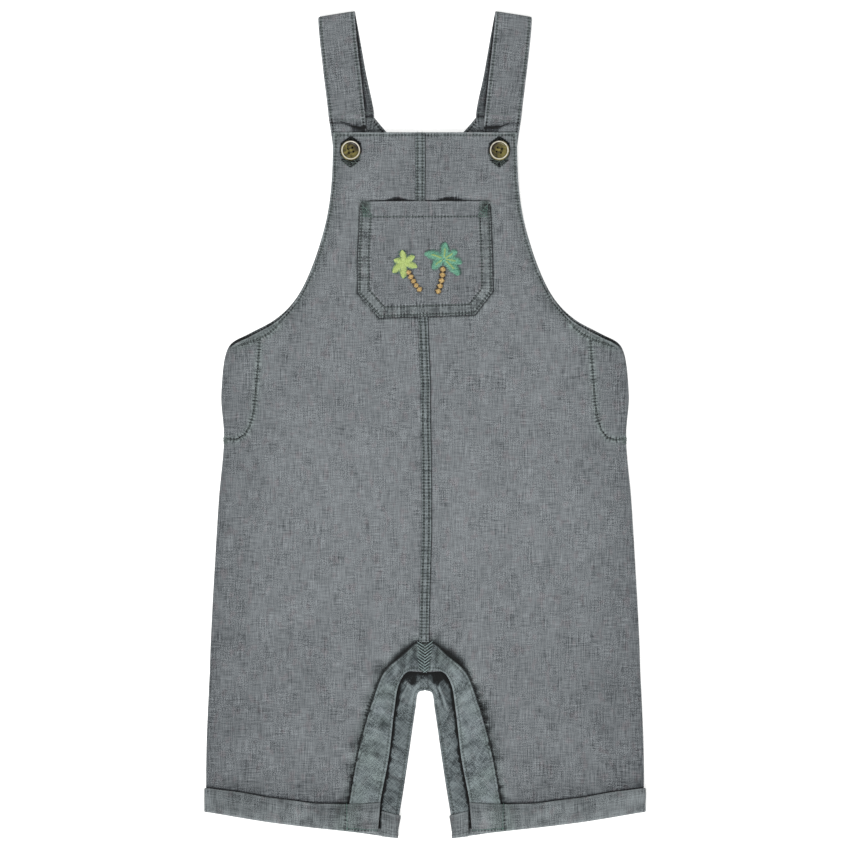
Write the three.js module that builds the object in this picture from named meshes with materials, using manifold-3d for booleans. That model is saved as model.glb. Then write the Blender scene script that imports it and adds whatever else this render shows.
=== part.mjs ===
// Toddler's short dungarees in washed chambray, laid flat on the back with the bib up.
// Millimetres, +Z up from the surface, +Y towards the straps, +X to the viewer's right.
// Left and right are the viewer's. Every outline is given for the right half and mirrored for the left.
import * as THREE from 'three';
import { mergeVertices } from 'three/addons/utils/BufferGeometryUtils.js';
import Module from 'manifold-3d';

const wasm = await Module();
wasm.setup();

// Driving dimensions
const clothWall = 1.0;          // one layer of cloth with its turned edge
const seamGap = 0.3;            // between two pieces that are sewn or lie on each other
const layer = clothWall + seamGap;
const cuffWall = 1.2;           // rolled turn-up
const cuffRise = cuffWall + seamGap;
const centreX = seamGap / 2;    // each half stops this far from the centre line
const seamBandHalfWidth = 3.5;  // flat-felled centre front seam
const seamBandTopY = 203.2;
const seamBandFootY = -152.1;
const strapFoldRadius = 1.15;   // middle of the cloth where the strap turns back at the shoulder
const strapFoldHeight = clothWall / 2 + 2 * strapFoldRadius;
const buttonX = 51.9;
const buttonY = 191.5;
const buttonRadius = 7.1;
const buttonHoleCircle = 2.26;  // sewing holes from the button's centre
const buttonHoleRadius = 0.75;
const shankRadius = 1.2;
const buttonholeY = 190.7;
const buttonholeHalfLength = 10.7;
const buttonholeHalfWidth = 2.4;
const cutterLength = 20;        // longer than any wall it cuts
const stepsPerSection = 2;      // rows between two sections of a panel

const cloth = { color: 0x7c8083, roughness: 0.92 };
const seamCloth = { color: 0x6a7473, roughness: 0.92 };
const insideCloth = { color: 0x6f7678, roughness: 0.94 };
const horn = { color: 0x7d6a3d, roughness: 0.32 };

// Front half from the bib's top edge to the hem. The lifts are the air under the cloth, above the back:
// at the inner edge, at the fullest place and at the side edge.
const frontSections = [
  { name: 'bibTop', inX: 0, inY: 204, outX: 64, outY: 204, inLift: 2.3, loft: 2.9, outLift: 2.9 },
  { name: 'strapEnd', inX: 0, inY: 172, outX: 65, outY: 172, inLift: 2.0, loft: 2.9, outLift: 2.9 },
  { name: 'bibSide', inX: 0, inY: 152, outX: 67.2, outY: 152, inLift: 1.4, loft: 1.7, outLift: 0.9 },
  { name: 'scyeUpper', inX: 0, inY: 130, outX: 72, outY: 130, inLift: 1.0, loft: 1.3, outLift: 0.4 },
  { name: 'scyeMiddle', inX: 0, inY: 108, outX: 79.4, outY: 108, inLift: 1.0, loft: 1.4, outLift: 0.3 },
  { name: 'scyeLower', inX: 0, inY: 87, outX: 89.9, outY: 87, inLift: 1.1, loft: 1.6, outLift: 0.3 },
  { name: 'scyeTurn', inX: 0, inY: 73, outX: 103.2, outY: 72.3, inLift: 1.2, loft: 1.7, outLift: 0.3 },
  { name: 'scyeBase', inX: 0, inY: 62, outX: 121.8, outY: 61.6, inLift: 1.2, loft: 1.8, outLift: 0.3 },
  { name: 'scyeEnd', inX: 0, inY: 52, outX: 134.7, outY: 54.8, inLift: 1.2, loft: 1.9, outLift: 0.3 },
  { name: 'ventTop', inX: 0, inY: 43, outX: 138.6, outY: 48.5, inLift: 1.2, loft: 2.0, outLift: 0.3 },
  { name: 'ventMiddle', inX: 0, inY: 20, outX: 142.4, outY: 20.6, inLift: 1.3, loft: 2.1, outLift: 0.3 },
  { name: 'ventFoot', inX: 0, inY: -9.4, outX: 140.5, outY: -9.4, inLift: 1.3, loft: 2.2, outLift: 0.3 },
  { name: 'hip', inX: 0, inY: -48, outX: 144.1, outY: -52.8, inLift: 1.4, loft: 2.3, outLift: 0.3 },
  { name: 'thigh', inX: 0, inY: -95, outX: 147, outY: -100, inLift: 1.5, loft: 2.3, outLift: 0.3 },
  { name: 'rise', inX: 0, inY: -135, outX: 148.7, outY: -130, inLift: 1.8, loft: 2.3, outLift: 0.3 },
  { name: 'crotch', inX: 0, inY: -172, outX: 150, outY: -158, inLift: 2.0, loft: 2.3, outLift: 0.3 },
  { name: 'archUpper', inX: 13.8, inY: -173, outX: 150.4, outY: -172, inLift: 2.0, loft: 2.3, outLift: 0.3 },
  { name: 'archTurn', inX: 19.4, inY: -182, outX: 150.9, outY: -183, inLift: 2.0, loft: 2.3, outLift: 0.3 },
  { name: 'archLower', inX: 22.7, inY: -200.5, outX: 151.7, outY: -199, inLift: 2, loft: 2.3, outLift: 0.3 },
  { name: 'knee', inX: 26.5, inY: -231, outX: 152.6, outY: -221.5, inLift: 2.0, loft: 2.3, outLift: 0.3 },
  { name: 'aboveCuff', inX: 31, inY: -255.5, outX: 153, outY: -243, inLift: 2.0, loft: 2.1, outLift: 0.4 },
  { name: 'cuffTop', inX: 32.6, inY: -265.6, outX: 153, outY: -253.4, inLift: 2.0, loft: 2.0, outLift: 0.4 },
  { name: 'hem', inX: 34.2, inY: -284.5, outX: 152.9, outY: -269.5, inLift: 2.0, loft: 1.9, outLift: 0.4 },
];
const fullFrom = 0.3;           // share of the half width at which the cloth is at its fullest
const fallFrom = 0.5;           // share from which it falls to the side edge
const frontColumns = [0, 0.06, 0.14, 0.24, 0.36, 0.5, 0.64, 0.78, 0.9, 1];

// Back half from the strap seam to the hem. It lies flat, and climbs on to the turn-up at the hem.
const backSections = [
  { name: 'strapSeam', inX: 35.7, inY: 214.5, outX: 60.5, outY: 211.8, rise: 0 },
  { name: 'neckUpper', inX: 26.6, inY: 204, outX: 62.6, outY: 201.9, rise: 0 },
  { name: 'neckLower', inX: 17, inY: 195, outX: 63.5, outY: 193, rise: 0 },
  { name: 'neckTurn', inX: 7.5, inY: 190.6, outX: 64, outY: 185, rise: 0 },
  { name: 'neckBase', inX: 0, inY: 189.6, outX: 64.5, outY: 176, rise: 0 },
  { name: 'scyeUpper', inX: 0, inY: 146.6, outX: 68.1, outY: 146.6, rise: 0 },
  { name: 'scyeMiddle', inX: 0, inY: 108.1, outX: 79.8, outY: 108.1, rise: 0 },
  { name: 'scyeLower', inX: 0, inY: 87.1, outX: 90.8, outY: 87.1, rise: 0 },
  { name: 'scyeTurn', inX: 0, inY: 73.1, outX: 104.3, outY: 73.6, rise: 0 },
  { name: 'scyeBase', inX: 0, inY: 62, outX: 122.6, outY: 63.5, rise: 0 },
  { name: 'scyeEnd', inX: 0, inY: 52, outX: 135.4, outY: 56.5, rise: 0 },
  { name: 'ventTop', inX: 0, inY: 43, outX: 139.2, outY: 49.5, rise: 0 },
  { name: 'ventMiddle', inX: 0, inY: 20.6, outX: 142.3, outY: 20.6, rise: 0 },
  { name: 'ventFoot', inX: 0, inY: -9.4, outX: 140.3, outY: -9.4, rise: 0 },
  { name: 'hip', inX: 0, inY: -48, outX: 143.9, outY: -52.8, rise: 0 },
  { name: 'thigh', inX: 0, inY: -110, outX: 147.5, outY: -110, rise: 0 },
  { name: 'seat', inX: 0, inY: -158, outX: 149.6, outY: -150, rise: 0 },
  { name: 'crotch', inX: 0, inY: -185.8, outX: 150.6, outY: -175, rise: 0 },
  { name: 'gapCorner', inX: 4.6, inY: -187.4, outX: 151.2, outY: -187, rise: 0 },
  { name: 'legUpper', inX: 7, inY: -199.8, outX: 151.7, outY: -199.8, rise: 0 },
  { name: 'knee', inX: 11.5, inY: -231, outX: 152.5, outY: -221.5, rise: 0 },
  { name: 'aboveCuff', inX: 15.4, inY: -257.1, outX: 153, outY: -243, rise: 0 },
  { name: 'cuffTop', inX: 17.1, inY: -267.2, outX: 153, outY: -253.4, rise: cuffRise },
  { name: 'hem', inX: 19.9, inY: -285.2, outX: 152.9, outY: -269.5, rise: cuffRise },
];
const backColumns = [0, 0.12, 0.3, 0.65, 1];

// Largest folds of the front: a rise of the given height, run and half width, turned by its angle in degrees
const frontFolds = [
  { name: 'drag from crotch', x: 38, y: -120, angle: 55, run: 40, width: 11, height: 0.6 },
  { name: 'second drag', x: 66, y: -128, angle: 62, run: 34, width: 11, height: 0.5 },
  { name: 'leg cup', x: 108, y: -212, angle: -6, run: 34, width: 11, height: 0.6 },
  { name: 'leg cup hollow', x: 112, y: -190, angle: -4, run: 30, width: 10, height: -0.5 },
  { name: 'seat hollow', x: 60, y: -22, angle: 4, run: 26, width: 11, height: -0.7 },
  { name: 'hip cup', x: 66, y: -80, angle: 6, run: 32, width: 11, height: -0.5 },
  { name: 'side trough', x: 124, y: -70, angle: 88, run: 55, width: 12, height: -0.5 },
  { name: 'thigh trough', x: 84, y: -156, angle: 84, run: 26, width: 11, height: -0.5 },
  { name: 'underarm drag', x: 74, y: 62, angle: 118, run: 30, width: 10, height: 0.5 },
];

// Band along the front's inner leg: its sewn edge on the panel and its free edge over the back
const frontPlacketSections = [
  { name: 'centre', freeX: 0, freeY: -173.2, sewnX: 0, sewnY: -152.6 },
  { name: 'archStart', freeX: 6.3, freeY: -171.9, sewnX: 5.9, sewnY: -153.6 },
  { name: 'archUpper', freeX: 13.3, freeY: -173.6, sewnX: 14.7, sewnY: -161.3 },
  { name: 'archTurn', freeX: 18.5, freeY: -182, sewnX: 28, sewnY: -173.2 },
  { name: 'archLower', freeX: 21.7, freeY: -200.5, sewnX: 36.2, sewnY: -193.2 },
  { name: 'knee', freeX: 25.5, freeY: -232.7, sewnX: 45.5, sewnY: -226 },
  { name: 'cuffTop', freeX: 31.6, freeY: -265.4, sewnX: 52.4, sewnY: -263.2 },
  { name: 'hem', freeX: 33.2, freeY: -284.4, sewnX: 54.4, sewnY: -282 },
];
// Band along the back's inner leg, on the inside of the back
const backPlacketSections = [
  { name: 'centre', freeX: 0, freeY: -185.8, sewnX: 0, sewnY: -164 },
  { name: 'gapCorner', freeX: 4.6, freeY: -187.4, sewnX: 13, sewnY: -166 },
  { name: 'legUpper', freeX: 7, freeY: -199.8, sewnX: 28, sewnY: -187 },
  { name: 'knee', freeX: 11.5, freeY: -231, sewnX: 35, sewnY: -228 },
  { name: 'aboveCuff', freeX: 15.4, freeY: -257.1, sewnX: 39, sewnY: -254.7 },
  { name: 'cuffTop', freeX: 17.1, freeY: -267.2, sewnX: 40.5, sewnY: -264.8 },
  { name: 'hem', freeX: 19.9, freeY: -284.9, sewnX: 43, sewnY: -282 },
];
const placketColumns = [0, 0.3, 0.65, 1];

// Pocket from its mouth to its foot, with the viewer's left and right edges
const pocketSections = [
  { name: 'mouth', leftX: -45.4, leftY: 155.8, rightX: 45.2, rightY: 156, gape: 0.9 },
  { name: 'hemLine', leftX: -45.6, leftY: 145, rightX: 45.9, rightY: 145.2, gape: 0.3 },
  { name: 'upper', leftX: -46.9, leftY: 118.6, rightX: 47.1, rightY: 119, gape: 0 },
  { name: 'corner', leftX: -47, leftY: 91.7, rightX: 47.5, rightY: 92.8, gape: 0 },
  { name: 'chamfer', leftX: -40, leftY: 82.6, rightX: 41.6, rightY: 84.8, gape: 0 },
  { name: 'foot', leftX: -32, leftY: 74.2, rightX: 35.1, rightY: 76.4, gape: 0 },
];
const pocketColumns = [-1, -0.78, -0.52, -0.27, -0.11, 0, 0.11, 0.27, 0.52, 0.78, 1];
const pocketSteps = 3;
const pocketOverX = 5;          // the pocket lies on the centre seam's band to here
const pocketClearX = 14;        // and has come down to the panel again here
const gapePlace = 0.5;          // share of the half width at which the mouth gapes most

// Strap from its end on the back bib, over the fold and down to its button end. Height is its middle's.
const strapSections = [
  { name: 'sewnEnd', inX: 36.6, inY: 206.5, outX: 61.4, outY: 204.5, height: 1.8 },
  { name: 'backSeam', inX: 35.9, inY: 216.4, outX: 60.8, outY: 214.6, height: 1.8 },
  { name: 'onSurface', inX: 36.9, inY: 224, outX: 62, outY: 222, height: 0.5 },
  { name: 'backMiddle', inX: 41, inY: 243, outX: 66, outY: 240, height: 0.5 },
  { name: 'backUpper', inX: 46, inY: 271, outX: 71, outY: 268, height: 0.5 },
  { name: 'backFold', inX: 49, inY: 287.6, outX: 74.2, outY: 283.6, height: 0.5 },
  { name: 'frontFold', inX: 49.4, inY: 287.6, outX: 74.6, outY: 283.6, height: strapFoldHeight },
  { name: 'frontUpper', inX: 48.1, inY: 271, outX: 73.4, outY: 268, height: 1.9 },
  { name: 'frontMiddle', inX: 44.9, inY: 243, outX: 70.2, outY: 240, height: 1.9 },
  { name: 'climb', inX: 42.9, inY: 224, outX: 68, outY: 222, height: 1.95 },
  { name: 'overSeam', inX: 42.1, inY: 216.4, outX: 67.2, outY: 214.6, height: 3.1 },
  { name: 'underBib', inX: 40.6, inY: 202, outX: 65, outY: 200, height: 3.1 },
  { name: 'buttonEnd', inX: 38, inY: 175.3, outX: 62, outY: 174, height: 3.1 },
];

// Turn-up's edges across the leg: top edge and foot on the front, and top edge and foot on the back
const cuffEdges = [
  { x: 17, frontTop: -264.2, frontFoot: -286, backTop: -274.1, backFoot: -289.6 },
  { x: 31, frontTop: -264.2, frontFoot: -286, backTop: -270.2, backFoot: -288 },
  { x: 44, frontTop: -265.7, frontFoot: -285.4, backTop: -267.6, backFoot: -286.1 },
  { x: 77, frontTop: -265.3, frontFoot: -282, backTop: -263.6, backFoot: -282 },
  { x: 92, frontTop: -263.1, frontFoot: -280.2, backTop: -262, backFoot: -280.2 },
  { x: 111, frontTop: -260.8, frontFoot: -277.8, backTop: -260, backFoot: -277.8 },
  { x: 130, frontTop: -257.3, frontFoot: -274.8, backTop: -257.9, backFoot: -274.8 },
  { x: 154, frontTop: -254.4, frontFoot: -270.7, backTop: -255.2, backFoot: -270.7 },
];
const cuffFrontXs = [31.3, 38, 46, 56.6, 64, 78, 96, 116, 136, 150];
const cuffBackXs = [150, 110, 70, 40, 24];
const cuffRows = [0, 0.35, 0.7, 1];
const cuffEndSlant = 1.9;       // the front end of the turn-up slants outwards to its foot
const cuffSideX = 153.4;        // inside of the turn-up at the leg's side fold
const cuffFlapXs = [24, 30.4];   // flap that turns over the back's open edge
const hemInset = 2;             // the panels end this far above the turn-up's foot
const bandReach = 2.5;          // the turn-up stays up on the band this far past its sewn edge
const foldEase = 0.3;           // cut off the corner of a fold
const foldBulge = 0.92;         // share of the wall that a fold's corner stands out

// Button's half section from the thread shank's end to the middle of its dish
const shankLength = 1.3;
const buttonProfile = [
  { r: 0, z: -shankLength }, { r: shankRadius, z: -shankLength }, { r: shankRadius, z: 0 }, { r: 5.9, z: 0 },
  { r: 6.8, z: 0.5 }, { r: buttonRadius, z: 1.3 }, { r: 6.9, z: 2.1 }, { r: 6.3, z: 2.5 },
  { r: 5.6, z: 2.3 }, { r: 5.1, z: 1.7 }, { r: 0, z: 1.5 },
];
const buttonSides = 28;

function mix(a, b, share) {
  return a + (b - a) * share;
}

function smooth(share) {
  const t = THREE.MathUtils.clamp(share, 0, 1);
  return t * t * (3 - 2 * t);
}

// A table's column at a place between 0, its first row, and 1, its last
function columnAt(table, key, place) {
  const at = place * (table.length - 1);
  const row = Math.min(Math.floor(at), table.length - 2);
  return mix(table[row][key], table[row + 1][key], at - row);
}

// A smooth edge through two of a table's columns, kept clear of the centre line
function edgeCurve(table, keyX, keyY) {
  const points = table.map((row) => new THREE.Vector3(row[keyX], row[keyY], 0));
  const curve = new THREE.CatmullRomCurve3(points, false, 'centripetal');
  return (place) => {
    const point = curve.getPoint(place);
    point.x = Math.max(point.x, centreX);
    return point;
  };
}

// Plan of a piece between two edges: rows of points, each with its place along and its share across
function planGrid(table, steps, columns, edgeA, edgeB) {
  const rows = (table.length - 1) * steps;
  const grid = [];
  for (let i = 0; i <= rows; i++) {
    const place = i / rows;
    const a = edgeA(place);
    const b = edgeB(place);
    grid.push(columns.map((share) => ({ x: mix(a.x, b.x, share), y: mix(a.y, b.y, share), place, share })));
  }
  return grid;
}

function raised(plan, height) {
  return plan.map((row) => row.map((p) => new THREE.Vector3(p.x, p.y, height(p))));
}

function movedUp(grid, amount) {
  return grid.map((row) => row.map((p) => new THREE.Vector3(p.x, p.y, p.z + amount)));
}

function mirrored(grid) {
  return grid.map((row) => row.map((p) => new THREE.Vector3(-p.x, p.y, p.z)));
}

// Height of the triangle over a plan point, or null beside it
function triangleHeight(a, b, c, x, y) {
  const area = (b.x - a.x) * (c.y - a.y) - (c.x - a.x) * (b.y - a.y);
  const wb = ((x - a.x) * (c.y - a.y) - (c.x - a.x) * (y - a.y)) / area;
  const wc = ((b.x - a.x) * (y - a.y) - (x - a.x) * (b.y - a.y)) / area;
  const edge = -1e-6;
  if (wb < edge || wc < edge || wb + wc > 1 - edge) return null;
  return a.z + wb * (b.z - a.z) + wc * (c.z - a.z);
}

// Height of a faceted surface at a plan point. Beside it, the height of its nearest corner.
function heightOn(grid, x, y) {
  let nearest = { gap: Infinity, z: 0 };
  for (let i = 0; i < grid.length - 1; i++) {
    for (let j = 0; j < grid[i].length - 1; j++) {
      const [a, b, c, d] = [grid[i][j], grid[i][j + 1], grid[i + 1][j + 1], grid[i + 1][j]];
      const height = triangleHeight(a, b, c, x, y) ?? triangleHeight(a, c, d, x, y);
      if (height !== null) return height;
      for (const p of [a, b, c, d]) {
        const gap = Math.hypot(p.x - x, p.y - y);
        if (gap < nearest.gap) nearest = { gap, z: p.z };
      }
    }
  }
  return nearest.z;
}

// Closed wall between an under and an over surface of the same rows and columns
function wallGeometry(under, over) {
  const rows = under.length;
  const columns = under[0].length;
  const positions = [];
  for (const grid of [under, over]) {
    for (const row of grid) {
      for (const p of row) positions.push(p.x, p.y, p.z);
    }
  }
  const at = (i, j, side) => side * rows * columns + i * columns + j;
  const faces = [];
  const quad = (a, b, c, d) => faces.push(a, b, c, a, c, d);
  for (let i = 0; i < rows - 1; i++) {
    for (let j = 0; j < columns - 1; j++) {
      quad(at(i, j, 1), at(i, j + 1, 1), at(i + 1, j + 1, 1), at(i + 1, j, 1));
      faces.push(at(i, j, 0), at(i + 1, j + 1, 0), at(i, j + 1, 0));
      faces.push(at(i, j, 0), at(i + 1, j, 0), at(i + 1, j + 1, 0));
    }
  }
  for (let i = 0; i < rows - 1; i++) {
    quad(at(i, 0, 0), at(i, 0, 1), at(i + 1, 0, 1), at(i + 1, 0, 0));
    quad(at(i + 1, columns - 1, 0), at(i + 1, columns - 1, 1), at(i, columns - 1, 1), at(i, columns - 1, 0));
  }
  for (let j = 0; j < columns - 1; j++) {
    quad(at(0, j + 1, 0), at(0, j + 1, 1), at(0, j, 1), at(0, j, 0));
    quad(at(rows - 1, j, 0), at(rows - 1, j, 1), at(rows - 1, j + 1, 1), at(rows - 1, j + 1, 0));
  }
  const geometry = new THREE.BufferGeometry();
  geometry.setAttribute('position', new THREE.Float32BufferAttribute(positions, 3));
  geometry.setIndex(signedVolume(positions, faces) > 0 ? faces : flipped(faces));
  return geometry;
}

function signedVolume(positions, faces) {
  const point = (k) => new THREE.Vector3().fromArray(positions, 3 * k);
  let volume = 0;
  for (let k = 0; k < faces.length; k += 3) {
    volume += point(faces[k]).dot(point(faces[k + 1]).cross(point(faces[k + 2]))) / 6;
  }
  return volume;
}

function flipped(faces) {
  const turned = [];
  for (let k = 0; k < faces.length; k += 3) turned.push(faces[k], faces[k + 2], faces[k + 1]);
  return turned;
}

function toSolid(geometry) {
  const bare = geometry.clone();
  bare.deleteAttribute('normal');
  bare.deleteAttribute('uv');
  const merged = mergeVertices(bare, 1e-4);
  return new wasm.Manifold(new wasm.Mesh({
    numProp: 3,
    vertProperties: new Float32Array(merged.attributes.position.array),
    triVerts: new Uint32Array(merged.index.array),
  }));
}

function fromSolid(solid) {
  const mesh = solid.getMesh();
  const geometry = new THREE.BufferGeometry();
  geometry.setAttribute('position', new THREE.Float32BufferAttribute(mesh.vertProperties, 3));
  geometry.setIndex(Array.from(mesh.triVerts));
  return geometry;
}

const garment = new THREE.Group();

function addPiece(name, geometry, finish) {
  const material = new THREE.MeshStandardMaterial({ ...finish, metalness: 0 });
  const piece = new THREE.Mesh(geometry, material);
  piece.name = name;
  garment.add(piece);
  return piece;
}

// The same piece on both sides, its walls given for the right side
function addPair(name, under, over, finish) {
  addPiece(`${name}_right`, wallGeometry(under, over), finish);
  addPiece(`${name}_left`, wallGeometry(mirrored(under), mirrored(over)), finish);
}

// Back halves, flat on the surface
const backPlan = planGrid(
  backSections, stepsPerSection, backColumns,
  edgeCurve(backSections, 'inX', 'inY'), edgeCurve(backSections, 'outX', 'outY'),
);
const backUnder = raised(backPlan, (p) => columnAt(backSections, 'rise', p.place));
const backOver = movedUp(backUnder, clothWall);
addPair('back', backUnder, backOver, insideCloth);

// A band on a panel's face, from its free edge to its sewn edge
function bandOn(surface, sections, steps) {
  const free = edgeCurve(sections, 'freeX', 'freeY');
  const sewn = edgeCurve(sections, 'sewnX', 'sewnY');
  const plan = planGrid(sections, steps, placketColumns, free, sewn);
  return raised(plan, (p) => heightOn(surface, p.x, p.y) + seamGap);
}

const backPlacketUnder = bandOn(backOver, backPlacketSections, 3);
const backPlacketOver = movedUp(backPlacketUnder, clothWall);
addPair('back_placket', backPlacketUnder, backPlacketOver, seamCloth);

// Front halves, lifted by the air in the garment and by their folds
function frontLift(place, share) {
  const inner = columnAt(frontSections, 'inLift', place);
  const full = columnAt(frontSections, 'loft', place);
  const outer = columnAt(frontSections, 'outLift', place);
  const climb = smooth(share / fullFrom);
  const fall = smooth((share - fallFrom) / (1 - fallFrom));
  return mix(mix(inner, full, climb), outer, fall);
}

function foldHeight(x, y) {
  let height = 0;
  for (const fold of frontFolds) {
    const turn = THREE.MathUtils.degToRad(fold.angle);
    const along = (x - fold.x) * Math.cos(turn) + (y - fold.y) * Math.sin(turn);
    const across = (y - fold.y) * Math.cos(turn) - (x - fold.x) * Math.sin(turn);
    height += fold.height * Math.exp(-((along / fold.run) ** 2) - (across / fold.width) ** 2);
  }
  return height;
}

const frontPlan = planGrid(
  frontSections, stepsPerSection, frontColumns,
  edgeCurve(frontSections, 'inX', 'inY'), edgeCurve(frontSections, 'outX', 'outY'),
);
const frontUnder = raised(frontPlan, (p) => {
  const edgeFade = smooth(p.share / fullFrom) * smooth((1 - p.share) / (1 - fallFrom));
  return heightOn(backOver, p.x, p.y) + frontLift(p.place, p.share) + edgeFade * foldHeight(p.x, p.y);
});
const frontOver = movedUp(frontUnder, clothWall);

// Buttonhole: a pointed slit that its button holds open
function buttonholeCutter(side) {
  const slit = new THREE.Shape();
  slit.moveTo(0, -buttonholeHalfLength);
  slit.quadraticCurveTo(2 * buttonholeHalfWidth, 0, 0, buttonholeHalfLength);
  slit.quadraticCurveTo(-2 * buttonholeHalfWidth, 0, 0, -buttonholeHalfLength);
  const options = { depth: cutterLength, bevelEnabled: false, curveSegments: 6 };
  const cutter = new THREE.ExtrudeGeometry(slit, options);
  cutter.translate(side * buttonX, buttonholeY, 0);
  return cutter;
}

for (const [name, side] of [['front_left', -1], ['front_right', 1]]) {
  const under = side < 0 ? mirrored(frontUnder) : frontUnder;
  const over = side < 0 ? mirrored(frontOver) : frontOver;
  const panel = toSolid(wallGeometry(under, over)).subtract(toSolid(buttonholeCutter(side)));
  addPiece(name, fromSolid(panel), cloth);
}

const frontPlacketUnder = bandOn(frontOver, frontPlacketSections, 3);
const frontPlacketOver = movedUp(frontPlacketUnder, clothWall);
addPair('front_placket', frontPlacketUnder, frontPlacketOver, seamCloth);

// Felled centre seam, on both front halves at the height of their own rows
const rowYs = frontOver.map((row) => row[0].y);
const betweenEnds = rowYs.filter((y) => y < seamBandTopY - 1 && y > seamBandFootY + 1);
const bandRows = [seamBandTopY, ...betweenEnds, seamBandFootY];
const bandUnder = bandRows.map((y) => [-1, 0, 1].map((side) => {
  const x = side * seamBandHalfWidth;
  return new THREE.Vector3(x, y, heightOn(frontOver, Math.max(Math.abs(x), centreX), y) + seamGap);
}));
addPiece('centre_front_seam', wallGeometry(bandUnder, movedUp(bandUnder, clothWall)), seamCloth);

// Pocket over the centre seam, gaping a little at its mouth
const pocketCurve = (keyX, keyY) => (place) => ({
  x: columnAt(pocketSections, keyX, place), y: columnAt(pocketSections, keyY, place),
});
const pocketShares = pocketColumns.map((c) => (c + 1) / 2);
const pocketPlan = planGrid(
  pocketSections, pocketSteps, pocketShares,
  pocketCurve('leftX', 'leftY'), pocketCurve('rightX', 'rightY'),
);
const pocketUnder = raised(pocketPlan, (p) => {
  const half = 2 * p.share - 1;
  const overSeam = layer * (1 - smooth((Math.abs(p.x) - pocketOverX) / (pocketClearX - pocketOverX)));
  const gape = columnAt(pocketSections, 'gape', p.place);
  const mouth = gape * Math.max(0, 1 - ((Math.abs(half) - gapePlace) / gapePlace) ** 2);
  return heightOn(frontOver, Math.max(Math.abs(p.x), centreX), p.y) + seamGap + overSeam + mouth;
});
addPiece('pocket', wallGeometry(pocketUnder, movedUp(pocketUnder, clothWall)), cloth);

// Straps: one ribbon each, turned back on itself at the shoulder
function strapStations() {
  const stations = [];
  strapSections.forEach((row, k) => {
    stations.push(row);
    const next = strapSections[k + 1];
    if (row.name !== 'backFold') return;
    for (const degrees of [-60, -30, 0, 30, 60]) {
      const turn = THREE.MathUtils.degToRad(degrees);
      const share = (degrees + 90) / 180;
      const forward = strapFoldRadius * Math.cos(turn);
      stations.push({
        inX: mix(row.inX, next.inX, share), inY: row.inY + forward,
        outX: mix(row.outX, next.outX, share), outY: row.outY + forward,
        height: row.height + strapFoldRadius * (1 + Math.sin(turn)),
      });
    }
  });
  return stations;
}

// Each station's surfaces stand half a wall to both sides of the middle, square to the ribbon's run
function strapSurface(stations, side) {
  return stations.map((row, k) => {
    const before = stations[Math.max(k - 1, 0)];
    const after = stations[Math.min(k + 1, stations.length - 1)];
    const run = new THREE.Vector2(after.inY - before.inY, after.height - before.height).normalize();
    const offset = side * clothWall / 2;
    return [0, 0.5, 1].map((share) => new THREE.Vector3(
      mix(row.inX, row.outX, share),
      mix(row.inY, row.outY, share) - run.y * offset,
      row.height + run.x * offset,
    ));
  });
}
const strap = strapStations();
addPair('strap', strapSurface(strap, -1), strapSurface(strap, 1), cloth);

// Turn-ups: a band over the front, round the side, under the back and over its open edge
function cuffEdge(key, x) {
  const inside = THREE.MathUtils.clamp(x, cuffEdges[0].x, cuffEdges.at(-1).x);
  const row = Math.max(1, cuffEdges.findIndex((edge) => edge.x >= inside));
  const [a, b] = [cuffEdges[row - 1], cuffEdges[row]];
  return mix(a[key], b[key], (inside - a.x) / (b.x - a.x));
}

// What the turn-up's front lies on: the higher of the panel and its band, just inside the hem
function cuffSeatHeight(x, y) {
  const inHem = Math.max(y, cuffEdge('frontFoot', x) + hemInset);
  const panel = heightOn(frontOver, x, inHem);
  const bandEdge = frontPlacketSections.at(-1).sewnX;
  return x - bandReach < bandEdge ? Math.max(panel + layer, heightOn(frontPlacketOver, x, inHem)) : panel;
}

// Five stations round an open edge of the leg, from its upper face to the surface
function foldRound(edgeX, outward, upperZ, wall) {
  const middle = (upperZ + cuffWall) / 2;
  const station = (insideX, insideZ, outsideX, outsideZ) => ({
    insideX: edgeX + outward * insideX, insideZ, outsideX: edgeX + outward * outsideX, outsideZ,
  });
  return [
    station(-foldEase, upperZ, foldEase, upperZ + foldBulge * wall),
    station(0, upperZ - foldEase, foldBulge * wall, upperZ + foldEase),
    station(0, middle, wall, middle),
    station(0, cuffWall + foldEase, foldBulge * wall, cuffWall / 2),
    station(-foldEase, cuffWall, foldEase, 0),
  ];
}

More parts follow.
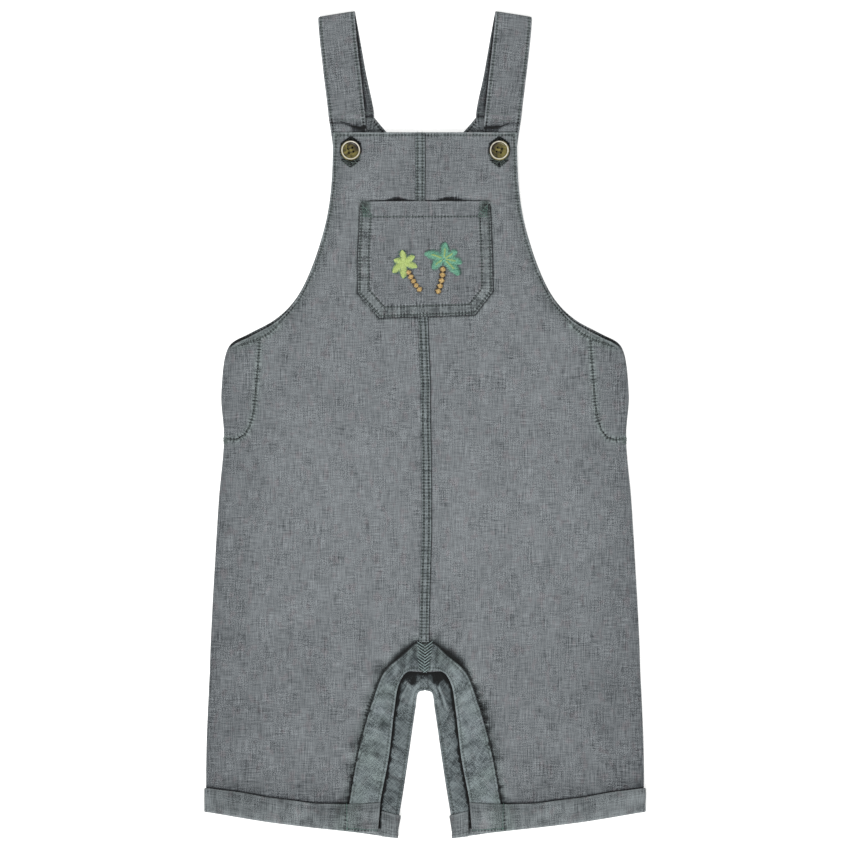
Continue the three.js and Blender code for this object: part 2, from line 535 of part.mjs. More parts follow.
// One row of the turn-up, between its top edge at 0 and its foot at 1
function cuffSection(row) {
  const section = [];
  const edgeY = (top, foot, x) => mix(cuffEdge(top, x), cuffEdge(foot, x), row);
  const add = (y, s) => section.push({
    inside: new THREE.Vector3(s.insideX, y, s.insideZ),
    outside: new THREE.Vector3(s.outsideX, y, s.outsideZ),
  });
  const flat = (x, insideZ, outsideZ) => ({ insideX: x, insideZ, outsideX: x, outsideZ });
  let sideHeight = 0;
  for (const station of cuffFrontXs) {
    const x = station === cuffFrontXs[0] ? station + cuffEndSlant * row : station;
    const y = edgeY('frontTop', 'frontFoot', x);
    sideHeight = cuffSeatHeight(x, y) + seamGap;
    add(y, flat(x, sideHeight, sideHeight + cuffWall));
  }
  const sideY = edgeY('frontTop', 'frontFoot', cuffSideX);
  for (const s of foldRound(cuffSideX, 1, sideHeight, cuffWall)) add(sideY, s);
  for (const x of cuffBackXs) add(edgeY('backTop', 'backFoot', x), flat(x, cuffWall, 0));
  const gapY = edgeY('backTop', 'backFoot', cuffEdges[0].x);
  const [top, hem] = [backSections.at(-2), backSections.at(-1)];
  const gapX = mix(top.inX, hem.inX, (gapY - top.inY) / (hem.inY - top.inY)) - seamGap;
  const flapHeight = cuffRise + 2 * layer;
  for (const s of foldRound(gapX, -1, flapHeight, clothWall).reverse()) add(gapY, s);
  for (const x of cuffFlapXs) {
    add(edgeY('backTop', 'backFoot', x), flat(x, flapHeight, flapHeight + clothWall));
  }
  return section;
}
const cuffSections = cuffRows.map(cuffSection);
const cuffInside = cuffSections.map((section) => section.map((s) => s.inside));
const cuffOutside = cuffSections.map((section) => section.map((s) => s.outside));
addPair('cuff', cuffInside, cuffOutside, cloth);

// Buttons: dished four-hole buttons on a thread shank that stands in the buttonhole
function buttonGeometry() {
  const profile = buttonProfile.map((p) => new THREE.Vector2(p.r, p.z));
  const disc = new THREE.LatheGeometry(profile, buttonSides);
  disc.rotateX(Math.PI / 2);
  let solid = toSolid(disc);
  for (const corner of [0.5, 1.5, 2.5, 3.5]) {
    const turn = corner * Math.PI / 2;
    const hole = new THREE.CylinderGeometry(buttonHoleRadius, buttonHoleRadius, cutterLength, 10);
    hole.rotateX(Math.PI / 2);
    hole.translate(buttonHoleCircle * Math.cos(turn), buttonHoleCircle * Math.sin(turn), 0);
    solid = solid.subtract(toSolid(hole));
  }
  return fromSolid(solid);
}

// A button lies on the highest cloth under its rim
let buttonSeat = 0;
for (let step = 0; step < buttonSides; step++) {
  const turn = step * 2 * Math.PI / buttonSides;
  const x = buttonX + buttonRadius * Math.cos(turn);
  const y = buttonY + buttonRadius * Math.sin(turn);
  buttonSeat = Math.max(buttonSeat, heightOn(frontOver, x, y));
}
for (const [name, side] of [['button_left', -1], ['button_right', 1]]) {
  const button = addPiece(name, buttonGeometry(), horn);
  button.position.set(side * buttonX, buttonY, buttonSeat + seamGap);
}

// Origin under the middle of the garment's own box
garment.updateMatrixWorld(true);
const box = new THREE.Box3().setFromObject(garment);
garment.position.set(-(box.min.x + box.max.x) / 2, -(box.min.y + box.max.y) / 2, -box.min.z);

export default garment;
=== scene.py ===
# Toddler's short dungarees in washed chambray, laid flat on the back with the bib up.
# Plans are in millimetres, as in the part's source. Left and right are the viewer's.
import math

import bpy
import numpy as np
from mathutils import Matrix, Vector
from mathutils.bvhtree import BVHTree
from mathutils.kdtree import KDTree


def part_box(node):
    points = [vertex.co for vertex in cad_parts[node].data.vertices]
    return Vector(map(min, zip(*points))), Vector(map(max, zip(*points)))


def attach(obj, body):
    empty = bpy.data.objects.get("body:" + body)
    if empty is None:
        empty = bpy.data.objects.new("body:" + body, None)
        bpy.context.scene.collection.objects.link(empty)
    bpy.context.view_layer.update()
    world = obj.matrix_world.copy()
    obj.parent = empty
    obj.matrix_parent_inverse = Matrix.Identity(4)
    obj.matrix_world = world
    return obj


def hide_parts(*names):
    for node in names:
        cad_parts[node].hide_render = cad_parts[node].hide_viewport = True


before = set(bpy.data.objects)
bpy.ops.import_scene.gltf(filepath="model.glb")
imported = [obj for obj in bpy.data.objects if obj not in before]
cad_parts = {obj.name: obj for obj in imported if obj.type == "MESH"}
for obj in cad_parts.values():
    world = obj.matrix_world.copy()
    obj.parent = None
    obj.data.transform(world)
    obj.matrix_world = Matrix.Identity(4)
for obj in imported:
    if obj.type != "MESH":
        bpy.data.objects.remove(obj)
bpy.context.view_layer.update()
print("frame loaded,", len(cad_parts), "CAD pieces")

mm = 0.001
seamLow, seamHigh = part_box("centre_front_seam")
seamTopY = 203.2  # the seam's top in the part's plan, which places that plan in the frame
planShift = np.array([(seamLow.x + seamHigh.x) / 2 / mm, seamHigh.y / mm - seamTopY, 0])
draftStep = 1  # a rough draft has points twice as far apart

# Camera, light and floor
studio = {
    "lens": 200, "sensor": 36, "height": 3.306,  # a 595 mm wide field, 0.7 mm a pixel
    "middleX": 0.0, "middleY": -0.00035,
    "skyStrength": 0.66, "keyStrength": 2.5, "keyTilt": 40, "keyTurn": -28, "keySoftness": 22,
    "fillStrength": 0.4, "fillTilt": 50, "fillTurn": 150,
    "floorHex": "#f7f7f6", "floorGlow": 0.45, "floorDrop": 0.35, "floorSize": 6.0,
}


def linear(hexColour):
    parts = [int(hexColour[k:k + 2], 16) / 255 for k in (1, 3, 5)]
    return tuple(c / 12.92 if c <= 0.04045 else ((c + 0.055) / 1.055) ** 2.4 for c in parts) + (1.0,)


def addNode(tree, kind, inputs=None, **settings):
    node = tree.nodes.new(kind)
    for key, value in settings.items():
        setattr(node, key, value)
    for socket, value in (inputs or {}).items():
        if isinstance(value, bpy.types.NodeSocket):
            tree.links.new(value, node.inputs[socket])
        else:
            node.inputs[socket].default_value = value
    return node


def newMaterial(name):
    made = bpy.data.materials.new(name)
    made.use_nodes = True
    made.node_tree.nodes.clear()
    return made, made.node_tree


scene = bpy.context.scene
scene.view_settings.view_transform = "Standard"
lensData = bpy.data.cameras.new("camera")
lensData.lens, lensData.sensor_width = studio["lens"], studio["sensor"]
lensData.clip_start, lensData.clip_end = 0.1, 20
cameraObject = bpy.data.objects.new("camera", lensData)
cameraObject.location = (studio["middleX"], studio["middleY"], studio["height"])
scene.collection.objects.link(cameraObject)
scene.camera = cameraObject

world = bpy.data.worlds.new("white studio")
world.use_nodes = True
world.node_tree.nodes["Background"].inputs["Color"].default_value = (1, 1, 1, 1)
world.node_tree.nodes["Background"].inputs["Strength"].default_value = studio["skyStrength"]
scene.world = world
for lightName in ("key", "fill"):
    sun = bpy.data.lights.new(lightName + " light", "SUN")
    sun.energy = studio[lightName + "Strength"]
    sun.angle = math.radians(studio["keySoftness"])
    sunObject = bpy.data.objects.new(lightName + " light", sun)
    tilt, turn = math.radians(studio[lightName + "Tilt"]), math.radians(studio[lightName + "Turn"])
    sunObject.rotation_euler = (tilt, 0, turn)
    scene.collection.objects.link(sunObject)

floorMaterial, floorTree = newMaterial("opal acrylic table")  # lit from below, so that hardly a shadow shows
tooth = addNode(floorTree, "ShaderNodeTexNoise", {"Scale": 300.0, "Detail": 2.0})
toothBump = addNode(floorTree, "ShaderNodeBump", {"Height": tooth.outputs[0], "Strength": 0.1, "Distance": 0.0002})
floorShader = addNode(floorTree, "ShaderNodeBsdfPrincipled", {
    "Base Color": linear(studio["floorHex"]), "Roughness": 0.9, "Normal": toothBump.outputs[0],
    "Emission Color": linear(studio["floorHex"]), "Emission Strength": studio["floorGlow"]})
addNode(floorTree, "ShaderNodeOutputMaterial", {"Surface": floorShader.outputs[0]})
floorMesh = bpy.data.meshes.new("floor")
half, drop = studio["floorSize"] / 2, -studio["floorDrop"] * mm
floorMesh.from_pydata([(-half, -half, drop), (half, -half, drop), (half, half, drop), (-half, half, drop)],
                      [], [(0, 1, 2, 3)])
floorMesh.materials.append(floorMaterial)
floor = bpy.data.objects.new("floor", floorMesh)
scene.collection.objects.link(floor)
print("studio set")


# Smooth steps and seeded unevenness
def ease(t):
    t = np.clip(t, 0, 1)
    return t * t * t * (t * (6 * t - 15) + 10)


def hill(distance, width):  # a bell: 1 at no distance, falling off over a width
    return np.exp(-(distance / width) ** 2)


def ripple(s, size, seed):  # uneven waves along a line, from -1 to 1
    knots = np.random.default_rng(seed).uniform(-1, 1, 512)
    at = np.asarray(s) / size + 200
    k = np.floor(at).astype(int)
    t = ease(at - k)
    return knots[k % 512] * (1 - t) + knots[(k + 1) % 512] * t


def patches(x, y, size, seed, stretch=1.0, angle=0.0):  # uneven hills over a plan, from -1 to 1
    draw = np.random.default_rng(seed)
    knots = draw.uniform(-1, 1, (128, 128))
    turn = math.radians(angle) + 0.4
    u = (x * math.cos(turn) + y * math.sin(turn)) / (size * stretch) + 60
    v = (y * math.cos(turn) - x * math.sin(turn)) / size + 60
    i, j = np.floor(u).astype(int), np.floor(v).astype(int)
    s, t = ease(u - i), ease(v - j)
    i, j, i2, j2 = i % 128, j % 128, (i + 1) % 128, (j + 1) % 128
    low = knots[i, j] * (1 - s) + knots[i2, j] * s
    high = knots[i, j2] * (1 - s) + knots[i2, j2] * s
    return low * (1 - t) + high * t


def blurred(field, sigma):
    reach = max(1, int(round(sigma * 2.5)))
    weights = np.exp(-0.5 * (np.arange(-reach, reach + 1) / sigma) ** 2)
    weights /= weights.sum()
    for axis in (0, 1):
        padded = np.pad(field, [(reach, reach) if a == axis else (0, 0) for a in (0, 1)], mode="edge")
        field = np.apply_along_axis(lambda line: np.convolve(line, weights, mode="valid"), axis, padded)
    return field


def throughPoints(points, places):
    # the centripetal curve of the part's edges, at places between 0 and 1
    p = np.asarray(points, float)
    p = np.vstack([2 * p[0] - p[1], p, 2 * p[-1] - p[-2]])
    at = np.clip(places, 0, 1) * (len(p) - 3)
    k = np.minimum(np.floor(at).astype(int), len(p) - 4)
    t = (at - k)[:, None]
    a, b, c, d = p[k], p[k + 1], p[k + 2], p[k + 3]
    ab, bc, cd = (np.maximum(np.linalg.norm(r - q, axis=1), 1e-6)[:, None] ** 0.5
                  for q, r in ((a, b), (b, c), (c, d)))
    m1 = ((b - a) / ab - (c - a) / (ab + bc) + (c - b) / bc) * bc
    m2 = ((c - b) / bc - (d - b) / (bc + cd) + (d - c) / cd) * bc
    return (b * (2 * t**3 - 3 * t**2 + 1) + m1 * (t**3 - 2 * t**2 + t)
            + c * (3 * t**2 - 2 * t**3) + m2 * (t**3 - t**2))


def arcLength(points):
    return np.concatenate([[0], np.cumsum(np.linalg.norm(np.diff(points, axis=0), axis=1))])


def evenly(points, spacing, smooth=True):  # a line through the points with even steps
    dense = throughPoints(points, np.linspace(0, 1, 60 * len(points))) if smooth else np.asarray(points, float)
    s = arcLength(dense)
    at = np.linspace(0, s[-1], max(2, int(s[-1] / spacing) + 1))
    return np.stack([np.interp(at, s, dense[:, k]) for k in range(dense.shape[1])], 1)


def beside(points, x, y, reach):
    # how far each plan point is to the left or right of a line, and how far along it, up to a reach
    line = evenly(np.asarray(points, float)[:, :2], 0.5, smooth=False)
    s = arcLength(line)
    runs = np.gradient(line, axis=0)
    runs /= np.maximum(np.linalg.norm(runs, axis=1, keepdims=True), 1e-9)
    tree = KDTree(len(line))
    for k, (px, py) in enumerate(line):
        tree.insert((px, py, 0), k)
    tree.balance()
    gap, along = np.full(x.shape, float(reach)), np.zeros(x.shape)
    near = ((x > line[:, 0].min() - reach) & (x < line[:, 0].max() + reach)
            & (y > line[:, 1].min() - reach) & (y < line[:, 1].max() + reach))
    places = np.nonzero(near)
    found = np.array([tree.find((px, py, 0))[1] for px, py in zip(x[places], y[places])], int)
    if len(found):
        away = np.stack([x[places], y[places]], 1) - line[found]
        forward = (away * runs[found]).sum(1)
        ahead = np.clip(forward, -0.3, 0.3)
        distance = np.hypot(*(away - ahead[:, None] * runs[found]).T)
        left = runs[found, 0] * away[:, 1] - runs[found, 1] * away[:, 0]
        gap[places] = np.clip(distance, 0, reach) * np.where(left >= 0, 1, -1)
        along[places] = s[found] + ahead
    return gap, along


def alongPath(points, x, y, reach):
    gap, along = beside(points, x, y, reach)
    return np.abs(gap), along


def rowFields(letter, *rows):
    # the nearest sewn row: distance to its side, how far along it, and its strength there
    gaps = np.stack([np.asarray(gap, float) for gap, _, _ in rows])
    alongs = np.stack([np.asarray(along, float) + 37.0 * k for k, (_, along, _) in enumerate(rows)])
    strengths = np.stack([np.broadcast_to(strength, gaps[0].shape) for _, _, strength in rows])
    nearest = np.abs(gaps).argmin(0)[None]
    gap = np.take_along_axis(gaps, nearest, 0)[0]
    strength = np.take_along_axis(strengths, nearest, 0)[0]
    return {"row" + letter: gap, "near" + letter: strength * hill(gap, 3.2),
            "along" + letter: np.take_along_axis(alongs, nearest, 0)[0]}


def borderSteps(length, spacing):
    # steps along a length, closer together at its two ends where the edge is rounded
    fine = np.array([0, 0.3, 0.8, 1.5])
    count = max(2, int(round((length - 2 * fine[-1]) / spacing)))
    inner = np.linspace(fine[-1], length - fine[-1], count + 1)
    return np.concatenate([fine[:-1], inner, length - fine[:-1][::-1]])


def panelPlan(inner, outer, spacing, coarse=1):
    # rows between two edges, with each point's place along, share across and distance from the four edges
    places = np.linspace(0, 1, 1500)
    a, b = throughPoints(inner, places), throughPoints(outer, places)
    s = (arcLength(a) + arcLength(b)) / 2
    widest = np.linalg.norm(b - a, axis=1).max()
    along, across = borderSteps(s[-1], spacing), borderSteps(widest, spacing)
    along, across = (trimmed(steps, coarse) for steps in (along, across))
    place = np.interp(along, s, places)
    a, b = throughPoints(inner, place), throughPoints(outer, place)
    width = np.linalg.norm(b - a, axis=1)[:, None]
    # the fine steps at the edges keep their size in every row
    edgeSide = np.minimum(across, widest - across)[None, :]
    scaled = np.where(edgeSide < 1.6, edgeSide, 1.6 + (edgeSide - 1.6) * (width / 2 - 1.6) / (widest / 2 - 1.6))
    share = np.where(across[None, :] < widest / 2, scaled, width - scaled) / width
    plan = a[:, None, :] * (1 - share[..., None]) + b[:, None, :] * share[..., None]
    return {
        "x": plan[..., 0], "y": plan[..., 1], "place": np.repeat(place[:, None], share.shape[1], 1),
        "share": share, "fromInner": share * width, "fromOuter": (1 - share) * width,
        "fromTop": np.repeat(along[:, None], share.shape[1], 1),
        "fromFoot": np.repeat((s[-1] - along)[:, None], share.shape[1], 1), "coarse": coarse,
    }


def trimmed(steps, coarse):
    # one step fewer at a time, until the coarse side of the cloth has whole steps
    while (len(steps) - 1) % coarse:
        middle = len(steps) // 2
        steps = np.delete(steps, middle)
    return steps


def edgeDistance(plan):
    return np.minimum.reduce([plan["fromInner"], plan["fromOuter"], plan["fromTop"], plan["fromFoot"]])


def tableColumn(rows, column, place, soften=0.02):
    # a column of a table at each place, its corners eased
    values = [row[column] for row in rows]
    at = np.linspace(0, 1, len(values))
    return sum(np.interp(np.clip(place + d, 0, 1), at, values) for d in (-soften, 0, soften)) / 3


def gridNormals(points):
    du, dv = np.gradient(points, axis=0), np.gradient(points, axis=1)
    normals = np.cross(dv, du)
    return normals / np.maximum(np.linalg.norm(normals, axis=2, keepdims=True), 1e-9)


def meshObject(name, vertices, faces, material, uv=None, fields=None, smooth=True):
    vertices = (np.asarray(vertices, float) + planShift) * mm
    mesh = bpy.data.meshes.new(name)
    mesh.from_pydata(vertices.tolist(), [], faces)
    mesh.materials.append(material)
    if uv is not None:
        layer = mesh.uv_layers.new(name="cloth")
        corners = np.zeros(len(mesh.loops), int)
        mesh.loops.foreach_get("vertex_index", corners)
        layer.data.foreach_set("uv", (np.asarray(uv, float) * mm)[corners].astype(np.float32).ravel())
    for key, values in (fields or {}).items():
        mesh.attributes.new(key, "FLOAT", "POINT").data.foreach_set("value", np.asarray(values, np.float32).ravel())
    if smooth:
        mesh.shade_smooth()
    mesh.update()
    made = bpy.data.objects.new(name, mesh)
    scene.collection.objects.link(made)
    return made


def clothShell(name, plan, middle, wall, material, uv=None, fields=None, fineSide="upper", otherSide=None):
    # A closed wall round a grid of middle points, with rounded edges. The hidden side may have fewer points.
    rows, columns = middle.shape[:2]
    step = plan["coarse"]
    normals = gridNormals(middle) * plan.get("turned", 1)
    if normals[..., 2].mean() < 0 and "turned" not in plan:
        normals = -normals
    edge = edgeDistance(plan)
    swell = 0.42 + 0.58 * np.sqrt(np.clip(1 - (1 - np.clip(edge / 1.1, 0, 1)) ** 2, 0, 1))
    offset = normals * (wall / 2 * swell)[..., None]
    sign = 1 if fineSide == "upper" else -1
    fine, rough = middle + sign * offset, (middle - sign * offset)[::step, ::step]
    roughRows, roughColumns = rough.shape[:2]
    border = ([(i, 0) for i in range(rows)] + [(rows - 1, j) for j in range(1, columns)]
              + [(i, columns - 1) for i in range(rows - 2, -1, -1)] + [(0, j) for j in range(columns - 2, 0, -1)])
    inwardI = [1 if i == 0 else -1 if i == rows - 1 else 0 for i, _ in border]
    inwardJ = [1 if j == 0 else -1 if j == columns - 1 else 0 for _, j in border]
    rim = np.array([middle[i, j] for i, j in border])
    inside = np.array([middle[i + 2 * a, j + 2 * b] for (i, j), a, b in zip(border, inwardI, inwardJ)])
    away = rim - inside
    away /= np.maximum(np.linalg.norm(away, axis=1, keepdims=True), 1e-9)
    rim = rim + away * wall * 0.2
    vertices = np.vstack([fine.reshape(-1, 3), rough.reshape(-1, 3), rim])
    fineAt = np.arange(rows * columns).reshape(rows, columns)
    roughAt = rows * columns + np.arange(roughRows * roughColumns).reshape(roughRows, roughColumns)
    rimAt = rows * columns + roughRows * roughColumns + np.arange(len(border))
    faces = []
    for grid, forward in ((fineAt, True), (roughAt, False)):
        a, b, c, d = (grid[s].ravel() for s in (np.s_[:-1, :-1], np.s_[:-1, 1:], np.s_[1:, 1:], np.s_[1:, :-1]))
        order = (a, b, c, d) if forward else (a, d, c, b)
        faces += np.stack(order, 1).tolist()
    count = len(border)
    for k in range(count):
        a, b = border[k], border[(k + 1) % count]
        faces.append([fineAt[a], fineAt[b], rimAt[(k + 1) % count], rimAt[k]])
    for k in range(0, count, step):
        first, last = k, (k + step) % count
        a, b = (roughAt[border[m][0] // step, border[m][1] // step] for m in (first, last))
        centre = step // 2
        for m in range(step):
            low, high = rimAt[(k + m) % count], rimAt[(k + m + 1) % count]
            faces.append([low, high, a if m < centre else b])
        faces.append([rimAt[(k + centre) % count], b, a])
    faces = [[int(v) for v in face] for face in faces]
    if fineFacing(fine, middle) < 0:
        faces = [face[::-1] for face in faces]

    def spread(values, other=None):  # a value on each middle point, given to the wall's three sets of points
        values = np.asarray(values, float)
        flatValues = values.reshape(rows * columns, -1)
        roughValues = (values if other is None else other)[::step, ::step].reshape(roughRows * roughColumns, -1)
        rimValues = np.array([values[i, j] for i, j in border]).reshape(count, -1)
        return np.vstack([flatValues, roughValues, rimValues])

    uv = spread(np.stack([plan["x"], plan["y"]], -1) if uv is None else uv)
    fields = {key: spread(values, (otherSide or {}).get(key)) for key, values in (fields or {}).items()}
    return meshObject(name, vertices, faces, material, uv, fields)


def fineFacing(fine, middle):
    # above zero where the fine side's faces point away from the middle of the wall
    i, j = fine.shape[0] // 2, fine.shape[1] // 2
    a, b, c = fine[i, j], fine[i, j + 1], fine[i + 1, j + 1]
    return np.dot(np.cross(b - a, c - a), a - middle[i, j])


def upperTree(*objects):  # what a ray from above or below meets first
    vertices, faces = [], []
    for item in objects:
        base = len(vertices)
        vertices += [v.co[:] for v in item.data.vertices]
        faces += [[base + v for v in face.vertices] for face in item.data.polygons]
    return BVHTree.FromPolygons(vertices, faces)


def heightOn(tree, x, y, down=True):  # the height that a ray meets first, or none where it meets nothing
    heights = np.full(np.shape(x), np.nan)
    start, way = (0.05, Vector((0, 0, -1))) if down else (-0.05, Vector((0, 0, 1)))
    flatX, flatY, flatZ = np.ravel(x), np.ravel(y), heights.ravel()
    for k in range(len(flatX)):
        origin = Vector(((flatX[k] + planShift[0]) * mm, (flatY[k] + planShift[1]) * mm, start))
        hit = tree.ray_cast(origin, way)[0]
        if hit is not None:
            flatZ[k] = hit.z / mm
    return flatZ.reshape(np.shape(x))


def filledIn(field):  # points beside what lies below take their neighbours' heights
    field = field.copy()
    for _ in range(400):
        bare = np.isnan(field)
        if not bare.any():
            break
        padded = np.pad(field, 1, constant_values=np.nan)
        around = np.stack([padded[:-2, 1:-1], padded[2:, 1:-1], padded[1:-1, :-2], padded[1:-1, 2:]])
        known = ~np.isnan(around)
        total = np.where(known, around, 0).sum(0)
        count = known.sum(0)
        new = bare & (count > 0)
        field[new] = total[new] / count[new]
    return field


# Finishes
chambrayLook = {  # washed cotton chambray: dark warp and pale weft, so it shows fine threads both ways in cool grey
    # the darkest colour is painted shadow, which the cloth takes where painted shade drives its tone below zero
    "paintedShadow": "#0a0c0d", "dark": "#33373a", "pale": "#8a8f92", "plum": "#8c797e", "sage": "#6d7c78", "moss": "#66726f",
    # real threads are 0.4 mm apart, finer than a pixel, so the yarns are drawn 0.7 mm wide
    "yarn": 0.7, "warpLength": 11.0, "weftLength": 9.5, "grain": 0.55, "slub": 0.8, "slubLength": 13.0,
    "slubPatch": 13.0, "mottle": 6.0, "cloud": 34.0,
    "warpShare": 0.62, "weftShare": 0.55, "grainShare": 1.1, "slubShare": 0.8, "cloudShare": 0.10, "tintShare": 0.2,
    # a sewn row: painted shade in its needle line and holes, a painted highlight on the ridge beside it, and painted
    # light and shade on the puckers that the thread draws
    "rowDark": 0.35, "holeDark": 0.90, "stitch": 2.25, "rowPale": 0.05, "pucker": 1.3, "washboard": 0.16,
    "puckerSize": 1.2, "puckerReach": 5.0,
    "depth": 0.16, "roughness": 0.9, "sheen": 0.15,
}
seamLook = dict(chambrayLook, dark="#2d3336", pale="#848b8e", pucker=0.8, rowPale=0.02, washboard=0.10, holeDark=1.0, tintShare=0.1)
bandLook = dict(chambrayLook, dark="#30373a", pale="#828b8e", warpShare=0.62, weftShare=0.5, grainShare=1.5, slubShare=0.5,
                pucker=0.9, holeDark=0.5, rowDark=0.22, tintShare=0.1)


def clothMaterial(name, look):
    made, tree = newMaterial(name)
    uv = addNode(tree, "ShaderNodeUVMap", uv_map="cloth").outputs[0]
    part = {}
    for key in ("shade", "moss", "rowA", "nearA", "alongA", "rowB", "nearB", "alongB"):
        part[key] = addNode(tree, "ShaderNodeAttribute", attribute_name=key).outputs["Fac"]
    patch, slub, slubLength = look["slubPatch"], look["slub"], look["slubLength"]
    noises = {  # what each lies over, that one's unit, the size of its marks both ways in mm and its detail
        "warp": (uv, mm, look["yarn"], look["warpLength"], 1.0),
        "weft": (uv, mm, look["weftLength"], look["yarn"], 1.0),
        "grain": (uv, mm, look["grain"], look["grain"], 1.0),
        "slubPatch": (uv, mm, patch, patch * 1.6, 2.0),
        "speckPatch": (uv, mm, patch * 1.2, patch * 1.3, 3.0),
        "slubDown": (uv, mm, slub, slubLength, 2.0),
        "slubAcross": (uv, mm, slubLength * 0.7, slub, 2.0),
        "cloud": (uv, mm, look["cloud"], look["cloud"] * 1.3, 3.0),
        "mottle": (uv, mm, look["mottle"], look["mottle"] * 1.5, 3.0),
    }
    for letter in "AB":  # the thread of a sewn row draws the cloth by its own run and the distance from it
        gap = addNode(tree, "ShaderNodeMath", {0: part["row" + letter]}, operation="ABSOLUTE").outputs[0]
        runAndGap = addNode(tree, "ShaderNodeCombineXYZ", {"X": part["along" + letter], "Y": gap}).outputs[0]
        part["gap" + letter] = gap
        noises["pull" + letter] = (runAndGap, 1, look["puckerSize"], look["puckerReach"], 1.0)
    for key, (over, unit, sizeU, sizeV, detail) in noises.items():
        place = addNode(tree, "ShaderNodeMapping", {
            "Vector": over, "Scale": (1 / (sizeU * unit), 1 / (sizeV * unit), 1)})
        part[key] = addNode(tree, "ShaderNodeTexNoise", {
            "Vector": place.outputs[0], "Scale": 1.0, "Detail": detail}, noise_dimensions="2D").outputs[0]
    # what is made of them, step by step: its name, what is done, and the parts or numbers that it is done to
    steps = [
        ("slubPlace", "RANGE", "slubPatch", 0.45, 0.68, 0.0, 1.0),
        ("speckPlace", "RANGE", "speckPatch", 0.34, 0.68, 0.45, 1.75),
        ("slubDown", "SUBTRACT", "slubDown", 0.52), ("slubDown", "MULTIPLY", "slubDown", "slubPlace"),
        ("slubAcross", "SUBTRACT", "slubAcross", 0.52), ("slubAcross", "MULTIPLY", "slubAcross", "slubPlace"),
        ("slubs", "ADD", "slubDown", "slubAcross"),
        ("speck", "SUBTRACT", "grain", 0.5), ("speck", "MULTIPLY", "speck", "speckPlace"),
        ("warpRise", "SUBTRACT", "warp", 0.5), ("weftRise", "SUBTRACT", "weft", 0.5),
        ("cloudRise", "SUBTRACT", "cloud", 0.5),
        ("tone", "MULTIPLY_ADD", "warpRise", look["warpShare"], 0.5),
        ("tone", "MULTIPLY_ADD", "weftRise", look["weftShare"], "tone"),
        ("tone", "MULTIPLY_ADD", "cloudRise", look["cloudShare"], "tone"),
        ("tone", "MULTIPLY_ADD", "speck", look["grainShare"], "tone"),
        ("tone", "MULTIPLY_ADD", "slubs", look["slubShare"], "tone"),
        ("raised", "MULTIPLY_ADD", "weftRise", 1.0, "warp"), ("raised", "ADD", "raised", "grain"),
        ("huePlace", "RANGE", "mottle", 0.35, 0.6, 0.0, 1.0),
        ("tint", "RANGE", "mottle", 0.42, 0.30, 0.0, 1.0), ("tint", "MULTIPLY", "tint", look["tintShare"]),
    ]
    # painted shade in each row's needle line and holes, a painted highlight on the ridge beside it, and painted light
    # and shade on its puckers
    for letter in "AB":
        gap, near, along, pull = ("gap" + letter, "near" + letter, "along" + letter, "pull" + letter)
        steps += [
            ("drawn", "SUBTRACT", pull, 0.5), ("sway", "MULTIPLY", "drawn", 2.5),
            ("beat", "MULTIPLY_ADD", along, 2 * math.pi / look["stitch"], "sway"), ("beat", "COSINE", "beat"),
            ("reach", "RANGE", gap, 3.6, 0.6, 0.0, 1.0), ("reach", "MULTIPLY", "reach", near),
            ("drawn", "MULTIPLY", "drawn", look["pucker"]),
            ("drawn", "MULTIPLY_ADD", "beat", look["washboard"], "drawn"), ("drawn", "MULTIPLY", "drawn", "reach"),
            ("line", "RANGE", gap, 0.85, 0.3, 0.0, 1.0), ("line", "MULTIPLY", "line", near),
            ("hole", "RANGE", "beat", 0.1, -0.7, 0.0, 1.0), ("hole", "MULTIPLY", "hole", "line"),
            ("outerSide", "RANGE", gap, 2.2, 1.3, 0.0, 1.0), ("ridge", "RANGE", gap, 0.6, 1.1, 0.0, 1.0),
            ("ridge", "MULTIPLY", "outerSide", "ridge"), ("ridge", "MULTIPLY", "ridge", near),
            ("tone", "ADD", "drawn", "tone"), ("tone", "MULTIPLY_ADD", "line", -look["rowDark"], "tone"),
            ("tone", "MULTIPLY_ADD", "hole", -look["holeDark"], "tone"),
            ("tone", "MULTIPLY_ADD", "ridge", look["rowPale"], "tone"),
            ("raised", "MULTIPLY_ADD", "drawn", 2.4, "raised"), ("raised", "MULTIPLY_ADD", "line", -1.2, "raised"),
        ]
    # each piece's shade attribute, mostly painted light and shade, is added to the tone; below zero the cloth goes to
    # the painted shadow colour
    steps += [("tone", "ADD", "tone", "shade"), ("paintedShadowShare", "MULTIPLY", "tone", -1.7)]
    for key, operation, *terms in steps:
        given = {k: part[term] if isinstance(term, str) else term for k, term in enumerate(terms)}
        if operation == "RANGE":
            step = addNode(tree, "ShaderNodeMapRange", given, interpolation_type="SMOOTHSTEP")
        else:
            step = addNode(tree, "ShaderNodeMath", given, operation=operation)
        part[key] = step.outputs[0]
    hue = addNode(tree, "ShaderNodeMix", {
        0: part["huePlace"], 6: linear(look["plum"]), 7: linear(look["sage"])}, data_type="RGBA")
    colour = linear(look["dark"])
    for share, over, blend in ((part["tone"], linear(look["pale"]), "MIX"),
                               (part["paintedShadowShare"], linear(look["paintedShadow"]), "MIX"),
                               (part["tint"], hue.outputs[2], "COLOR"), (part["moss"], linear(look["moss"]), "COLOR")):
        colour = addNode(tree, "ShaderNodeMix", {0: share, 6: colour, 7: over}, data_type="RGBA",
                         blend_type=blend).outputs[2]
    bump = addNode(tree, "ShaderNodeBump", {
        "Height": part["raised"], "Strength": 1.0, "Distance": look["depth"] * mm})
    shader = addNode(tree, "ShaderNodeBsdfPrincipled", {
        "Base Color": colour, "Roughness": look["roughness"], "Specular IOR Level": 0.25,
        "Sheen Weight": look["sheen"], "Sheen Roughness": 0.5, "Normal": bump.outputs[0]})
    addNode(tree, "ShaderNodeOutputMaterial", {"Surface": shader.outputs[0]})
    return made


